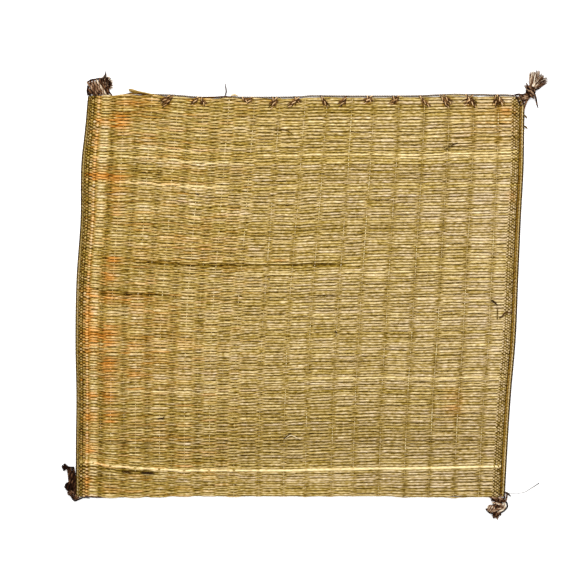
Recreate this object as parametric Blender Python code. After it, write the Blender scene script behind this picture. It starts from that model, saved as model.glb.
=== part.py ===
"""Kusha grass mat with a stitched top edge and four knotted corners.

The mat lies flat on the ground, face up. X runs from its left edge to its right
edge, Y from its bottom edge to its top edge, and Z points up. The origin is on the
ground, below the middle of the whole object. Lengths are in metres.
"""

import math

import bmesh
import bpy
import numpy as np
from mathutils import Vector

MM = 0.001

# The weave: 285 dry stems lie side to side, and the solid has one rib for three stems.
STEM_COUNT = 285
STEMS_PER_RIB = 3
MAT_LENGTH = 565.0 * MM
RIB_CREST = 3.2 * MM
RIB_VALLEY = 2.3 * MM
EDGE_WALL = 1.3 * MM
EDGE_INSET = 1.1 * MM
FACE_UNEVENNESS = 0.18 * MM
WAVE_PEAK = 1.5
CORNER_RADIUS = 3.0 * MM
KNOT_CORNER_RADIUS = 11.0 * MM

# How the lengthways cords lean. Each row: height up the mat, then how far across
# the left edge, the first cord, one fifth, the middle and the right edge stand (mm).
CORD_STATIONS = (0.0, 0.055, 0.2, 0.5, 1.0)
CORD_LEAN = (
    (-284.6, -322.8, -290.3, -200.5, -18.3, 282.5),
    (-201.5, -322.7, -288.3, -200.2, -17.6, 287.4),
    (-147.9, -322.0, -288.3, -199.8, -16.1, 291.0),
    (-63.4, -323.4, -288.1, -199.0, -13.0, 298.0),
    (21.1, -322.0, -285.3, -194.9, -7.6, 301.5),
    (105.7, -316.3, -279.0, -187.3, -0.8, 305.1),
    (190.2, -314.9, -274.0, -181.1, 5.8, 309.3),
    (235.3, -309.8, -271.7, -176.8, 9.2, 310.0),
    (281.0, -305.8, -270.0, -172.6, 12.7, 310.7),
)

# The two ends of the mat: distance across, then height of the edge (mm).
BOTTOM_EDGE = (
    (-330, -286.6), (-310, -285.6), (-300, -284.8), (-290, -285.6), (-282, -286.8),
    (-265, -286.8), (-243, -286.0), (-209, -284.6),
    (-161, -283.9), (118, -283.9), (140, -285.0), (290, -286.0),
)
TOP_EDGE = (
    (-305, 281.8), (-266, 281.8), (-243, 282.5), (-220, 281.8), (-175, 279.7),
    (-147, 277.6), (-6, 277.6), (8, 279.0), (163, 279.0), (185, 279.7),
    (233, 280.4), (311, 280.4),
)

# How far the stems sag below a straight line from edge to edge. Each row: height up
# the mat, then the sag at one quarter, the middle, three quarters and the right edge.
SAG_STATIONS = (0.0, 0.25, 0.5, 0.75, 1.0)
STEM_SAG = (
    (-286, 0.0, 0.0, 0.0, 0.0, 0.0),
    (-235, 0.0, 5.4, 5.1, 1.4, -3.1),
    (-190, 0.0, 2.1, 0.0, -3.4, -5.1),
    (-100, 0.0, 1.7, 0.6, -1.7, -3.7),
    (-10, 0.0, 5.9, 5.1, 1.8, 0.0),
    (125, 0.0, 5.6, 6.1, 3.8, 1.7),
    (215, 0.0, 4.5, 5.9, 5.6, 4.2),
    (281, 0.0, 0.0, 0.0, 0.0, 0.0),
)

# Section across a selvedge, from its outer edge inwards: distance in, then height.
# The outer roll is round, a groove parts it from the turned stem ends, and a second
# groove parts those from the open weave.
LEFT_SELVEDGE = ((0.0, 1.5), (1.1, 3.7), (3.3, 3.7), (4.8, 2.8), (8.5, 3.4), (15.5, 3.2), (18.5, 2.5))
RIGHT_SELVEDGE = ((0.0, 1.5), (1.1, 3.7), (3.5, 3.7), (5.2, 2.6), (9.0, 3.3), (18.5, 2.5))
RIBLESS_COLUMNS = 4
SELVEDGE_CREST = 0.22 * MM
SELVEDGE_VALLEY = -0.32 * MM
FIELD_STATIONS = (0.14, 0.25, 0.38, 0.5, 0.62, 0.75, 0.87)

# The edge twine lies just outside the top edge and is stitched down into the mat.
TWINE_RADIUS = 0.85 * MM
TWINE_GAP = 0.4 * MM
TWINE_HEIGHT = 2.1 * MM
TWINE_STEP = 9.0 * MM
LEG_RADIUS = 0.8 * MM
LEG_CLEARANCE = 0.5 * MM
TWINE_SIDES = 6

# Strands of the knots and of their brushes.
STRAND_SIDES = 6
BRUSH_SIDES = 4
LUMP_SEGMENTS = 10
LUMP_RINGS = 6
# Every second strand of a brush starts this much higher (mm), and all of them lie
# level on the ground from this share of their length.
BRUSH_LAYER = 1.6
LEVEL_FROM = 0.8

# Where the twine bows away from the edge between stitches: distance across, bow (mm).
TWINE_BOW = (
    (-222, 0.0), (-196, 0.4), (-147, 0.0), (-100, 0.1), (-40, 0.1), (8, 0.8),
    (62, 0.3), (90, 0.3), (160, 0.6), (190, 1.2), (212, 3.0), (234, 0.9),
    (253, 1.0), (266, 0.4), (283, 0.6), (293, 0.0),
)
# The slanting legs of the stitches: where a leg leaves the twine, where it enters
# the mat, and how far below the edge it does so (mm).
STITCH_LEGS = (
    (-189.5, -202.9, 9.9), (-184.0, -200.8, 16.2),
    (-149.5, -159.2, 9.9), (-146.0, -140.5, 11.3),
    (-88.0, -79.0, 7.0), (-74.0, -81.0, 7.5),
    (-45.8, -40.2, 8.5), (-38.7, -48.6, 16.9),
    (-7.7, -23.2, 13.4), (-14.1, -7.0, 7.5),
    (22.5, 33.1, 14.1), (59.9, 48.6, 14.8),
    (88.1, 93.7, 7.0), (95.1, 82.4, 9.9),
    (123.9, 130.3, 7.0), (133.1, 120.5, 11.3),
    (161.3, 176.8, 14.1),
    (190.9, 203.6, 16.2), (196.6, 207.8, 11.3),
    (237.4, 224.7, 14.1), (227.5, 241.6, 16.2),
    (268.4, 269.8, 16.9), (271.9, 279.7, 14.1),
)

# Tubes of the knots. Each point: across, up the mat, height of the axis, radius (mm).
TOP_LEFT_STRANDS = (
    ((-303.4, 282.5, 2.3, 1.8), (-304.4, 292.0, 2.5, 2.3), (-302.5, 300.0, 2.5, 1.8)),
    (
        (-302.5, 300.6, 2.9, 2.0), (-298.0, 294.5, 3.6, 2.6), (-291.0, 287.5, 2.8, 2.2),
        (-286.2, 283.6, 1.9, 1.4),
    ),
    ((-302.0, 293.5, 2.4, 2.0), (-297.0, 289.0, 2.7, 2.4), (-292.5, 284.6, 2.0, 1.6)),
    (
        (-298.0, 302.2, 3.0, 2.0), (-293.0, 298.0, 5.0, 2.6), (-287.5, 290.0, 5.2, 2.6),
        (-281.0, 284.5, 2.6, 1.8),
    ),
    (
        (-291.0, 303.5, 3.2, 2.0), (-285.0, 300.0, 5.5, 2.8), (-279.0, 294.0, 4.8, 2.6),
        (-272.6, 284.6, 1.8, 1.3),
    ),
    ((-282.0, 300.0, 5.0, 2.2), (-281.5, 307.0, 4.5, 1.6), (-280.4, 314.0, 2.6, 0.6)),
)
TOP_LEFT_BRUSH = {
    "root": (-284.0, 291.0, 3.6), "root_radius": 1.4, "tip_radius": 0.7,
    "angles": (98, 84, 71, 58, 46, 33, 20, 7),
    "lengths": (17, 18.5, 18, 17, 16, 15, 13.5, 12.5),
}
TOP_LEFT_LUMPS = (
    ((-283.5, 295.0, 4.0), (8.6, 9.2, 4.4)),
    ((-298.0, 289.6, 1.9), (6.2, 6.0, 2.6)),
)

TOP_RIGHT_STRANDS = (
    ((307.4, 277.1, 2.2, 1.9), (312.0, 281.2, 3.2, 2.8), (318.0, 286.5, 4.4, 3.6)),
    ((306.6, 280.6, 1.6, 1.1), (311.4, 283.4, 2.8, 1.9), (316.5, 289.0, 3.8, 2.4)),
    ((312.6, 273.0, 1.6, 1.2), (314.6, 277.5, 2.8, 1.9), (318.0, 283.0, 4.0, 2.6)),
    ((325.0, 289.2, 2.2, 2.0), (329.3, 291.1, 1.6, 1.3), (333.4, 294.2, 1.0, 0.6)),
    (
        (322.8, 284.5, 2.4, 2.2), (324.4, 277.5, 1.9, 1.7), (325.8, 270.5, 1.5, 1.2),
        (328.6, 263.4, 0.8, 0.6),
    ),
    ((314.0, 291.0, 3.6, 2.2), (320.0, 286.5, 7.4, 2.6), (326.0, 289.0, 4.2, 2.2)),
    ((313.5, 284.0, 4.0, 2.2), (319.0, 280.5, 6.8, 2.4), (325.0, 283.5, 3.6, 2.0)),
)
TOP_RIGHT_BRUSH = {
    "root": (320.5, 291.0, 3.2), "root_radius": 1.7, "tip_radius": 0.7,
    "angles": (93, 86, 79, 72, 65, 58, 51, 44, 37, 30, 22),
    "lengths": (20, 26, 27, 26, 26, 25.5, 25, 25, 26, 27, 25),
}
TOP_RIGHT_LUMPS = (
    ((319.5, 286.0, 5.0), (6.6, 9.6, 5.0)),
    ((322.5, 299.0, 3.4), (8.0, 9.5, 3.4)),
)

BOTTOM_LEFT_STRANDS = (
    (
        (-325.7, -281.0, 2.2, 2.1), (-326.2, -268.0, 2.6, 2.5), (-326.8, -256.0, 2.4, 2.3),
        (-330.6, -249.0, 2.1, 1.9), (-335.0, -241.5, 1.7, 1.5), (-338.5, -237.2, 1.2, 0.9),
    ),
    ((-331.0, -246.5, 2.0, 1.8), (-336.5, -243.8, 1.6, 1.5), (-344.2, -243.6, 1.2, 0.9)),
    ((-328.0, -252.0, 2.0, 1.8), (-327.0, -245.0, 1.6, 1.5), (-326.6, -241.5, 1.3, 1.0)),
    ((-327.0, -274.0, 4.6, 2.2), (-333.0, -277.5, 3.4, 2.4), (-336.4, -281.0, 2.2, 1.6)),
    ((-327.0, -262.0, 4.8, 2.2), (-333.0, -265.0, 3.6, 2.6), (-338.2, -265.8, 2.2, 1.8)),
    (
        (-326.2, -280.0, 2.2, 2.0), (-326.4, -287.0, 1.9, 1.7), (-323.2, -290.6, 1.6, 1.4),
        (-318.2, -290.4, 1.4, 1.2), (-313.2, -288.4, 1.1, 0.9),
    ),
)
BOTTOM_LEFT_LUMPS = (
    ((-328.8, -270.5, 3.6), (4.0, 9.0, 4.2)),
    ((-334.5, -266.0, 1.9), (3.6, 3.4, 2.4)),
)

BOTTOM_RIGHT_STRANDS = (
    ((263.5, -288.2, 1.5, 1.2), (273.0, -287.9, 1.5, 1.2), (281.5, -288.2, 1.5, 1.2)),
    (
        (262.0, -290.2, 2.6, 2.2), (270.0, -291.2, 3.4, 2.9), (277.0, -291.0, 3.2, 2.7),
        (283.6, -289.8, 2.4, 2.0),
    ),
    (
        (274.0, -291.0, 4.0, 1.8), (282.5, -291.6, 3.2, 2.0), (285.0, -297.0, 2.6, 2.2),
        (280.0, -302.2, 3.4, 2.2), (272.0, -306.0, 3.0, 2.1), (266.0, -310.0, 2.2, 1.7),
    ),
    (
        (279.0, -295.0, 4.4, 1.8), (268.0, -295.4, 4.0, 2.3), (259.5, -298.4, 2.6, 2.4),
        (257.0, -302.6, 2.5, 2.2), (262.0, -306.0, 2.6, 2.1), (272.0, -303.5, 3.6, 2.0),
    ),
    ((269.0, -303.0, 2.4, 2.1), (266.0, -309.0, 1.9, 1.7), (263.2, -314.0, 1.2, 0.9)),
    ((271.5, -303.0, 2.6, 2.2), (271.8, -311.0, 1.9, 1.7), (272.2, -317.5, 1.0, 0.7)),
    ((274.0, -302.0, 2.4, 2.0), (276.0, -307.0, 1.9, 1.6), (276.6, -311.4, 1.2, 0.9)),
)
BOTTOM_RIGHT_LUMPS = (
    ((271.0, -298.0, 4.0), (7.5, 7.0, 4.4)),
    ((262.4, -301.6, 2.2), (5.4, 4.0, 2.6)),
    ((279.6, -296.4, 2.4), (4.6, 5.0, 2.8)),
)

# Each material's colour and roughness.
COLOURS = {
    "grass": ((0.47, 0.32, 0.115, 1.0), 0.6),
    "twine": ((0.42, 0.33, 0.22, 1.0), 0.85),
    "jute": ((0.17, 0.085, 0.045, 1.0), 0.9),
}


def smooth_between(table, column, height):
    """Read one column of a table at a height, along a smooth curve through its rows."""
    heights = [row[0] for row in table]
    values = [row[column] for row in table]
    last = len(heights) - 1
    height = min(max(height, heights[0]), heights[last])
    k = min(int(np.searchsorted(heights, height, side="right")) - 1, last - 1)

    def slope(i):
        low, high = max(i - 1, 0), min(i + 1, last)
        return (values[high] - values[low]) / (heights[high] - heights[low])

    span = heights[k + 1] - heights[k]
    t = (height - heights[k]) / span
    start, end = slope(k) * span, slope(k + 1) * span
    rise = values[k + 1] - values[k]
    square = 3 * rise - 2 * start - end
    cube = start + end - 2 * rise
    return values[k] + t * (start + t * (square + t * cube))


def read_row(table, stations, height, share):
    """Read a whole row of a table at a height, at one share of the way across."""
    row = [smooth_between(table, i + 1, height) for i in range(len(stations))]
    return float(np.interp(share, stations, row))


def edge_height(edge, across):
    return float(np.interp(across, [p[0] for p in edge], [p[1] for p in edge]))


def corner_inset(distance, radius):
    """How far a rounded corner draws an edge in, at a distance from the mat's end."""
    if distance >= radius:
        return 0.0
    return radius - math.sqrt(radius**2 - (radius - distance) ** 2)


def mat_point(share, rise):
    """Point of the mat in mm, from its share of the width and its share of the height."""
    level = np.interp(rise, (0, 1), (CORD_LEAN[0][0], CORD_LEAN[-1][0]))
    across = read_row(CORD_LEAN, CORD_STATIONS, level, share)
    low = edge_height(BOTTOM_EDGE, across)
    high = edge_height(TOP_EDGE, across)
    up = low + (high - low) * rise - read_row(STEM_SAG, SAG_STATIONS, level, share)
    return across, up


def mat_columns(rise):
    """Points across the mat at one rise: across and up in mm, height, ribbed or not."""
    left = mat_point(0, rise)
    right = mat_point(1, rise)
    width = right[0] - left[0]
    from_top = (1 - rise) * MAT_LENGTH
    from_bottom = rise * MAT_LENGTH
    at_bottom = corner_inset(from_bottom, CORNER_RADIUS)
    left_in = max(corner_inset(from_top, CORNER_RADIUS), at_bottom) / MM
    right_in = max(corner_inset(from_top, KNOT_CORNER_RADIUS), at_bottom) / MM
    columns = []
    for i, (inwards, height) in enumerate(LEFT_SELVEDGE):
        share = (inwards + left_in * (1 - inwards / LEFT_SELVEDGE[-1][0])) / width
        columns.append((*mat_point(share, rise), height * MM, i >= RIBLESS_COLUMNS))
    for share in FIELD_STATIONS:
        columns.append((*mat_point(share, rise), None, True))
    for i, (inwards, height) in reversed(list(enumerate(RIGHT_SELVEDGE))):
        share = 1 - (inwards + right_in * (1 - inwards / RIGHT_SELVEDGE[-1][0])) / width
        columns.append((*mat_point(share, rise), height * MM, i >= RIBLESS_COLUMNS))
    return columns


def unevenness(x, y):
    """Slow rise and fall of the hand-made face."""
    wave = math.sin(11 * x + 3 * y) + math.sin(4 - 17 * y + 6 * x) + math.sin(23 * x - 9 * y + 1)
    return FACE_UNEVENNESS * wave / WAVE_PEAK


def build_mat():
    """One solid: a flat underside, short walls and a face ribbed by its stems."""
    ribs = STEM_COUNT // STEMS_PER_RIB
    inset = EDGE_INSET / MAT_LENGTH
    rises = [0.0, inset] + [k / (2 * ribs) for k in range(2, 2 * ribs - 1)] + [1 - inset, 1.0]
    bm = bmesh.new()
    grid = []
    for j, rise in enumerate(rises):
        at_end = j in (0, len(rises) - 1)
        crest = j % 2 == 1
        line = []
        for i, (across, up, height, ribbed) in enumerate(mat_columns(rise)):
            x, y = across * MM, up * MM
            if height is None:
                z = (RIB_CREST if crest else RIB_VALLEY) + unevenness(x, y)
            elif ribbed:
                z = height + (SELVEDGE_CREST if crest else SELVEDGE_VALLEY)
            else:
                z = height
            if at_end:
                z = EDGE_WALL
            line.append(bm.verts.new((x, y, z)))
        grid.append(line)
    rows, cols = len(grid), len(grid[0])
    for j in range(rows - 1):
        for i in range(cols - 1):
            bm.faces.new((grid[j][i], grid[j][i + 1], grid[j + 1][i + 1], grid[j + 1][i]))
    right_side = [line[-1] for line in grid[:-1]]
    left_side = [line[0] for line in grid[:0:-1]]
    rim = grid[0][:-1] + right_side + grid[-1][:0:-1] + left_side
    feet = [bm.verts.new((v.co.x, v.co.y, 0.0)) for v in rim]
    for k, vert in enumerate(rim):
        n = (k + 1) % len(rim)
        bm.faces.new((feet[k], feet[n], rim[n], vert))
    bm.faces.new(list(reversed(feet)))
    return mesh_object("mat", bm, "grass")


def add_tube(bm, points, sides):
    """Closed tube through points of (x, y, z, radius) in mm, flat below and above."""
    centres = [Vector(p[:3]) * MM for p in points]
    radii = [p[3] * MM for p in points]
    rings = []
    start_angle = math.pi / 4 if sides == BRUSH_SIDES else 0.0
    stretch = 1 / math.cos(math.pi / sides)
    for k, centre in enumerate(centres):
        before = centres[max(k - 1, 0)]
        after = centres[min(k + 1, len(centres) - 1)]
        along = (after - before).normalized()
        side = along.cross(Vector((0, 0, 1))).normalized()
        over = side.cross(along)
        ring = []
        for s in range(sides):
            angle = start_angle + 2 * math.pi * s / sides
            spoke = side * math.cos(angle) + over * math.sin(angle)
            ring.append(bm.verts.new(centre + spoke * radii[k] * stretch))
        rings.append(ring)
    for low, high in zip(rings, rings[1:]):
        for s in range(sides):
            n = (s + 1) % sides
            bm.faces.new((low[s], high[s], high[n], low[n]))
    bm.faces.new(rings[0])
    bm.faces.new(list(reversed(rings[-1])))


def add_lump(bm, centre, radii):
    """Rounded lump that sits on the ground on a flat foot."""
    made = bmesh.ops.create_uvsphere(bm, u_segments=LUMP_SEGMENTS, v_segments=LUMP_RINGS, radius=1.0)
    for vert in made["verts"]:
        x, y, z = (c * MM + r * MM * k for c, r, k in zip(centre, radii, vert.co))
        vert.co = (x, y, max(z, 0.0))


def add_brush(bm, brush):
    """Strands that fan out from a knot and come to rest level on the ground."""
    x, y, z = brush["root"]
    for k, (angle, length) in enumerate(zip(brush["angles"], brush["lengths"])):
        turn = math.radians(angle)
        lift = BRUSH_LAYER if k % 2 else 0.0
        points = []
        for share in (0.0, 0.45, LEVEL_FROM, 1.0):
            radius = brush["root_radius"] + (brush["tip_radius"] - brush["root_radius"]) * share
            droop = max(0.0, 1 - share / LEVEL_FROM)
            height = radius + (z - radius + lift) * droop
            reach = length * share
            points.append((x + reach * math.cos(turn), y + reach * math.sin(turn), height, radius))
        add_tube(bm, points, BRUSH_SIDES)


def mesh_object(name, bm, slot):
    """Turn a bmesh into a named object with its own material."""
    bmesh.ops.recalc_face_normals(bm, faces=bm.faces)
    mesh = bpy.data.meshes.new(name)
    bm.to_mesh(mesh)
    bm.free()
    mesh.materials.append(material(slot))
    body = bpy.data.objects.new(name, mesh)
    bpy.context.scene.collection.objects.link(body)
    return body


def fuse(name, core, rest, slot):
    """Fuse the shells of one mesh to the core of another, as one body."""
    body = mesh_object(name, core, slot)
    shells = mesh_object(name + "_shells", rest, slot)
    shells.hide_render = True
    shells.display_type = "WIRE"
    union = body.modifiers.new("fuse", "BOOLEAN")
    union.operation = "UNION"
    union.solver = "EXACT"
    union.use_self = True
    union.object = shells
    return body


def build_knot(name, lumps, strands, brush):
    """One corner knot: a rounded heart with its strands and brush fused to it."""
    core = bmesh.new()
    add_lump(core, *lumps[0])
    rest = bmesh.new()
    for lump in lumps[1:]:
        add_lump(rest, *lump)
    for strand in strands:
        add_tube(rest, strand, STRAND_SIDES)
    if brush:
        add_brush(rest, brush)
    return fuse(name, core, rest, "jute")


def build_edge_twine():
    """The twine along the top edge, with the legs of its stitches fused to it."""
    radius = TWINE_RADIUS / MM
    first, last = TWINE_BOW[0][0], TWINE_BOW[-1][0]
    count = round((last - first) * MM / TWINE_STEP)
    points = []
    for x in np.linspace(first, last, count + 1):
        bow = smooth_between(TWINE_BOW, 1, x)
        y = edge_height(TOP_EDGE, x) + TWINE_GAP / MM + radius + bow
        points.append((x, y, TWINE_HEIGHT / MM, radius))
    core = bmesh.new()
    add_tube(core, points, TWINE_SIDES)
    rest = bmesh.new()
    thick = LEG_RADIUS / MM
    over = RIB_CREST / MM + LEG_CLEARANCE / MM + thick
    for leaves, enters, depth in STITCH_LEGS:
        edge = edge_height(TOP_EDGE, leaves)
        bow = smooth_between(TWINE_BOW, 1, leaves)
        middle = leaves + 0.45 * (enters - leaves)
        path = (
            (leaves, edge + TWINE_GAP / MM + radius + bow + 0.1, TWINE_HEIGHT / MM + 0.4, thick),
            (leaves + 0.08 * (enters - leaves), edge + 0.5, over, thick),
            (middle, edge - 0.45 * depth, over, thick),
            (enters, edge - depth, over, 0.7 * thick),
        )
        add_tube(rest, path, TWINE_SIDES)
    return fuse("edge_twine", core, rest, "twine")


def material(slot):
    """The material of one slot, made once."""
    found = bpy.data.materials.get(slot)
    if found:
        return found
    made = bpy.data.materials.new(slot)
    made.use_nodes = True
    shader = made.node_tree.nodes["Principled BSDF"]
    colour, roughness = COLOURS[slot]
    shader.inputs["Base Color"].default_value = colour
    shader.inputs["Roughness"].default_value = roughness
    shader.inputs["Metallic"].default_value = 0.0
    return made


for old in list(bpy.data.objects):
    bpy.data.objects.remove(old, do_unlink=True)

build_mat()
build_edge_twine()
build_knot("knot_top_left", TOP_LEFT_LUMPS, TOP_LEFT_STRANDS, TOP_LEFT_BRUSH)
build_knot("knot_top_right", TOP_RIGHT_LUMPS, TOP_RIGHT_STRANDS, TOP_RIGHT_BRUSH)
build_knot("knot_bottom_left", BOTTOM_LEFT_LUMPS, BOTTOM_LEFT_STRANDS, None)
build_knot("knot_bottom_right", BOTTOM_RIGHT_LUMPS, BOTTOM_RIGHT_STRANDS, None)
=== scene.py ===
# %% [markdown]
# # A seat mat of dry grass
#
# The real mat is about 285 dry grass stems laid side to side and held by thin
# lengthways cords. At the left and right the stems turn back round outer cords, a
# twine is stitched along the top edge, and each corner ends in a knot of jute.
# This lesson dresses the imported solids of that mat. The solids are loaded first.

import math

import bpy
import numpy as np
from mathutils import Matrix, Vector


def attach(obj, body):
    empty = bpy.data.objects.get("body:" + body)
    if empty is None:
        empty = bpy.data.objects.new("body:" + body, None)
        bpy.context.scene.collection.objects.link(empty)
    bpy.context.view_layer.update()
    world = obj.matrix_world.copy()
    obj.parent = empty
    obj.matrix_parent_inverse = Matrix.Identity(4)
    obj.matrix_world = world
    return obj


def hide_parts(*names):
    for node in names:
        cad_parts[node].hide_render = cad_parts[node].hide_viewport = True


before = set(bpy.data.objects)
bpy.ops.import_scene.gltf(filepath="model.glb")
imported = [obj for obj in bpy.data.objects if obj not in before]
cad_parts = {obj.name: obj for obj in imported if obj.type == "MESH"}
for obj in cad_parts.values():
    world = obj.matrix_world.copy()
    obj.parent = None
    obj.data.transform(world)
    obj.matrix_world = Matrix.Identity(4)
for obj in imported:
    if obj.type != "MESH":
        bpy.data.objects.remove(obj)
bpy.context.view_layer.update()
MM = 0.001

# %% [markdown]
# ## Where the stems and cords lie
#
# The mat was never quite square: it leans, its sides bow, and its stems sag between
# the sides. One way to draw that is to bend a square weave with a lattice. Short
# tables are plainer, because each number can be held against the real mat: how far
# across each cord stands at each height, and how far the stems hang down there.

# %% The lean of the cords and the sag of the stems (mm)
CORD_STATIONS = (0.0, 0.055, 0.2, 0.5, 1.0)
CORD_LEAN = np.array([
    # height, left edge, first cord, one fifth, middle, right edge
    (-284.6, -322.8, -290.3, -200.5, -18.3, 282.5),
    (-201.5, -322.7, -288.3, -200.2, -17.6, 287.4),
    (-147.9, -322.0, -288.3, -199.8, -16.1, 291.0),
    (-63.4, -323.4, -288.1, -199.0, -13.0, 298.0),
    (21.1, -322.0, -285.3, -194.9, -7.6, 301.5),
    (105.7, -316.3, -279.0, -187.3, -0.8, 305.1),
    (190.2, -314.9, -274.0, -181.1, 5.8, 309.3),
    (235.3, -309.8, -271.7, -176.8, 9.2, 310.0),
    (281.0, -305.8, -270.0, -172.6, 12.7, 310.7),
])
SAG_STATIONS = (0.0, 0.25, 0.5, 0.75, 1.0)
STEM_SAG = np.array([
    # height, left edge, one quarter, middle, three quarters, right edge
    (-286, 0.0, 0.0, 0.0, 0.0, 0.0),
    (-235, 0.0, 5.4, 5.1, 1.4, -3.1),
    (-190, 0.0, 2.1, 0.0, -3.4, -5.1),
    (-100, 0.0, 1.7, 0.6, -1.7, -3.7),
    (-10, 0.0, 5.9, 5.1, 1.8, 0.0),
    (125, 0.0, 5.6, 6.1, 3.8, 1.7),
    (215, 0.0, 4.5, 5.9, 5.6, 4.2),
    (281, 0.0, 0.0, 0.0, 0.0, 0.0),
])
BOTTOM_EDGE = np.array([
    (-330, -286.6), (-310, -285.6), (-300, -284.8), (-290, -285.6), (-282, -286.8),
    (-265, -286.8), (-243, -286.0), (-209, -284.6), (-161, -283.9), (118, -283.9),
    (140, -285.0), (290, -286.0),
])
TOP_EDGE = np.array([
    (-305, 281.8), (-266, 281.8), (-243, 282.5), (-220, 281.8), (-175, 279.7),
    (-147, 277.6), (-6, 277.6), (8, 279.0), (163, 279.0), (185, 279.7),
    (233, 280.4), (311, 280.4),
])


def ease(first, rise, start, end, t):
    """A smooth climb by rise from first, with the slopes start and end."""
    return first + t * (start + t * (3 * rise - 2 * start - end + t * (start + end - 2 * rise)))


def smooth_column(table, column, heights):
    """A column of a table, read at many heights along a smooth curve."""
    rows, values = table[:, 0], table[:, column]
    slopes = np.gradient(values, rows)
    k = np.clip(np.searchsorted(rows, heights, side="right") - 1, 0, len(rows) - 2)
    span = rows[k + 1] - rows[k]
    t = np.clip((heights - rows[k]) / span, 0, 1)
    return ease(values[k], values[k + 1] - values[k], slopes[k] * span, slopes[k + 1] * span, t)


def across_stations(table, stations, heights, shares):
    """Read a table at matching arrays of heights and shares of the width."""
    columns = [smooth_column(table, i + 1, heights) for i in range(len(stations))]
    out = np.zeros_like(heights, dtype=float)
    for i in range(len(stations) - 1):
        low, high = stations[i], stations[i + 1]
        inside = (shares >= low) if i else np.ones_like(shares, bool)
        t = (shares - low) / (high - low)
        out = np.where(inside, columns[i] + (columns[i + 1] - columns[i]) * t, out)
    return out


def mat_points(shares, rises):
    """Plan points of the mat, in mm, from shares of its width and of its height."""
    shares, rises = np.broadcast_arrays(np.asarray(shares, float), np.asarray(rises, float))
    heights = CORD_LEAN[0, 0] + (CORD_LEAN[-1, 0] - CORD_LEAN[0, 0]) * rises
    across = across_stations(CORD_LEAN, CORD_STATIONS, heights, shares)
    low = np.interp(across, BOTTOM_EDGE[:, 0], BOTTOM_EDGE[:, 1])
    high = np.interp(across, TOP_EDGE[:, 0], TOP_EDGE[:, 1])
    sag = across_stations(STEM_SAG, SAG_STATIONS, heights, shares)
    return across, low + (high - low) * rises - sag


print("middle of the mat:", [round(float(v), 1) for v in mat_points(0.5, 0.5)])

# %% Rounded corners (mm)
MAT_ACROSS, MAT_TALL = 610.0, 565.0
CORNER_ROUND, KNOT_CORNER_ROUND = 3.0, 11.0
# how near to a side, as a share of the width, a rounding moves things, and over how many mm
FADE_LEFT, FADE_RIGHT, FADE_IN = 0.03, 0.97, 19


def corner_inset(distance, radius):
    """How far a rounded corner draws an edge in, at a distance from the end."""
    distance = np.minimum(distance, radius)
    return radius - np.sqrt(radius**2 - (radius - distance) ** 2)


def edge_insets(rise):
    """How far the left and right sides are drawn in at one rise (mm)."""
    at_bottom = corner_inset(rise * MAT_TALL, CORNER_ROUND)
    from_top = (1 - rise) * MAT_TALL
    left = np.maximum(corner_inset(from_top, CORNER_ROUND), at_bottom)
    right = np.maximum(corner_inset(from_top, KNOT_CORNER_ROUND), at_bottom)
    return left, right


corner = mat_points(np.array([0.0, 1.0]), np.array([0.0, 1.0]))
print("lower left and upper right corners:", np.round(corner, 1).tolist())

# %% [markdown]
# ## The cords
#
# Thin cords run up the mat, and each stem goes over one and under the next. On the
# real mat every second cord is drawn tight and shows as a pale dotted line, and the
# ones between lie deep, so the weave is counted here as two sets. At the selvedges
# the cords stand four times closer, which makes the fine pattern there.

# %% Places of the cords, as shares of the mat's width
LOW_LEFT, LOW_RIGHT = -322.7, 287.4
TIGHT_CORDS = (
    -274.1, -238.8, -205.0, -169.8, -134.6, -99.3, -64.1, -28.9, 2.1, 38.7,
    69.7, 106.4, 143.0, 178.2, 214.2, 249.7,
)
DEEP_CORDS = (
    -288.3, -255.7, -222.6, -188.1, -152.0, -117.0, -82.0, -46.5, -13.4, 20.4,
    54.2, 88.1, 124.7, 160.6, 196.2, 231.9, 266.6,
)
LEFT_SELVEDGE_CORDS = (-317.8, -314.8, -311.4, -306.5)
RIGHT_SELVEDGE_CORDS = (270.0, 273.0, 276.0, 279.0)
FIRST_CORD = -298.0


def share_of(place):
    return (place - LOW_LEFT) / (LOW_RIGHT - LOW_LEFT)


cords = [(share_of(x), "selvedge") for x in LEFT_SELVEDGE_CORDS + RIGHT_SELVEDGE_CORDS]
cords += [(share_of(FIRST_CORD), "first")]
cords += [(share_of(x), "tight") for x in TIGHT_CORDS]
cords += [(share_of(x), "deep") for x in DEEP_CORDS]
cords.sort()
cord_shares = np.array([c[0] for c in cords])
spacing = np.diff(cord_shares) * MAT_ACROSS
print(len(cords), "cords,", [round(float(v), 1) for v in (spacing.min(), spacing.max())], "mm apart")

# %% [markdown]
# ## A tube maker
#
# Stems, cords, twine and jute are all tubes of changing width and height. Curve
# objects with a bevel could draw them, but a few hundred thousand faces are quicker
# to write straight into one mesh, with values for the colour of each point.

# %% One new mesh object with values on its points
def new_object(name, points, faces, values, material):
    """An object from points in metres; values are what its material reads."""
    mesh = bpy.data.meshes.new(name)
    mesh.from_pydata(points.tolist(), [], faces)
    for key, numbers in values.items():
        layer = mesh.attributes.new(key, "FLOAT", "POINT")
        layer.data.foreach_set("value", numbers.astype(np.float32))
    mesh.materials.append(material)
    made = bpy.data.objects.new(name, mesh)
    bpy.context.scene.collection.objects.link(made)
    print(name, sum(len(face) - 2 for face in faces), "triangles")
    return made


# %% Collect tubes and write them as one mesh
rng = np.random.default_rng(5)
TINY = 1e-12
ALMOST_UPRIGHT = 0.05
SPARE_UP = (0.3, 1.0, 0.0)


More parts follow.
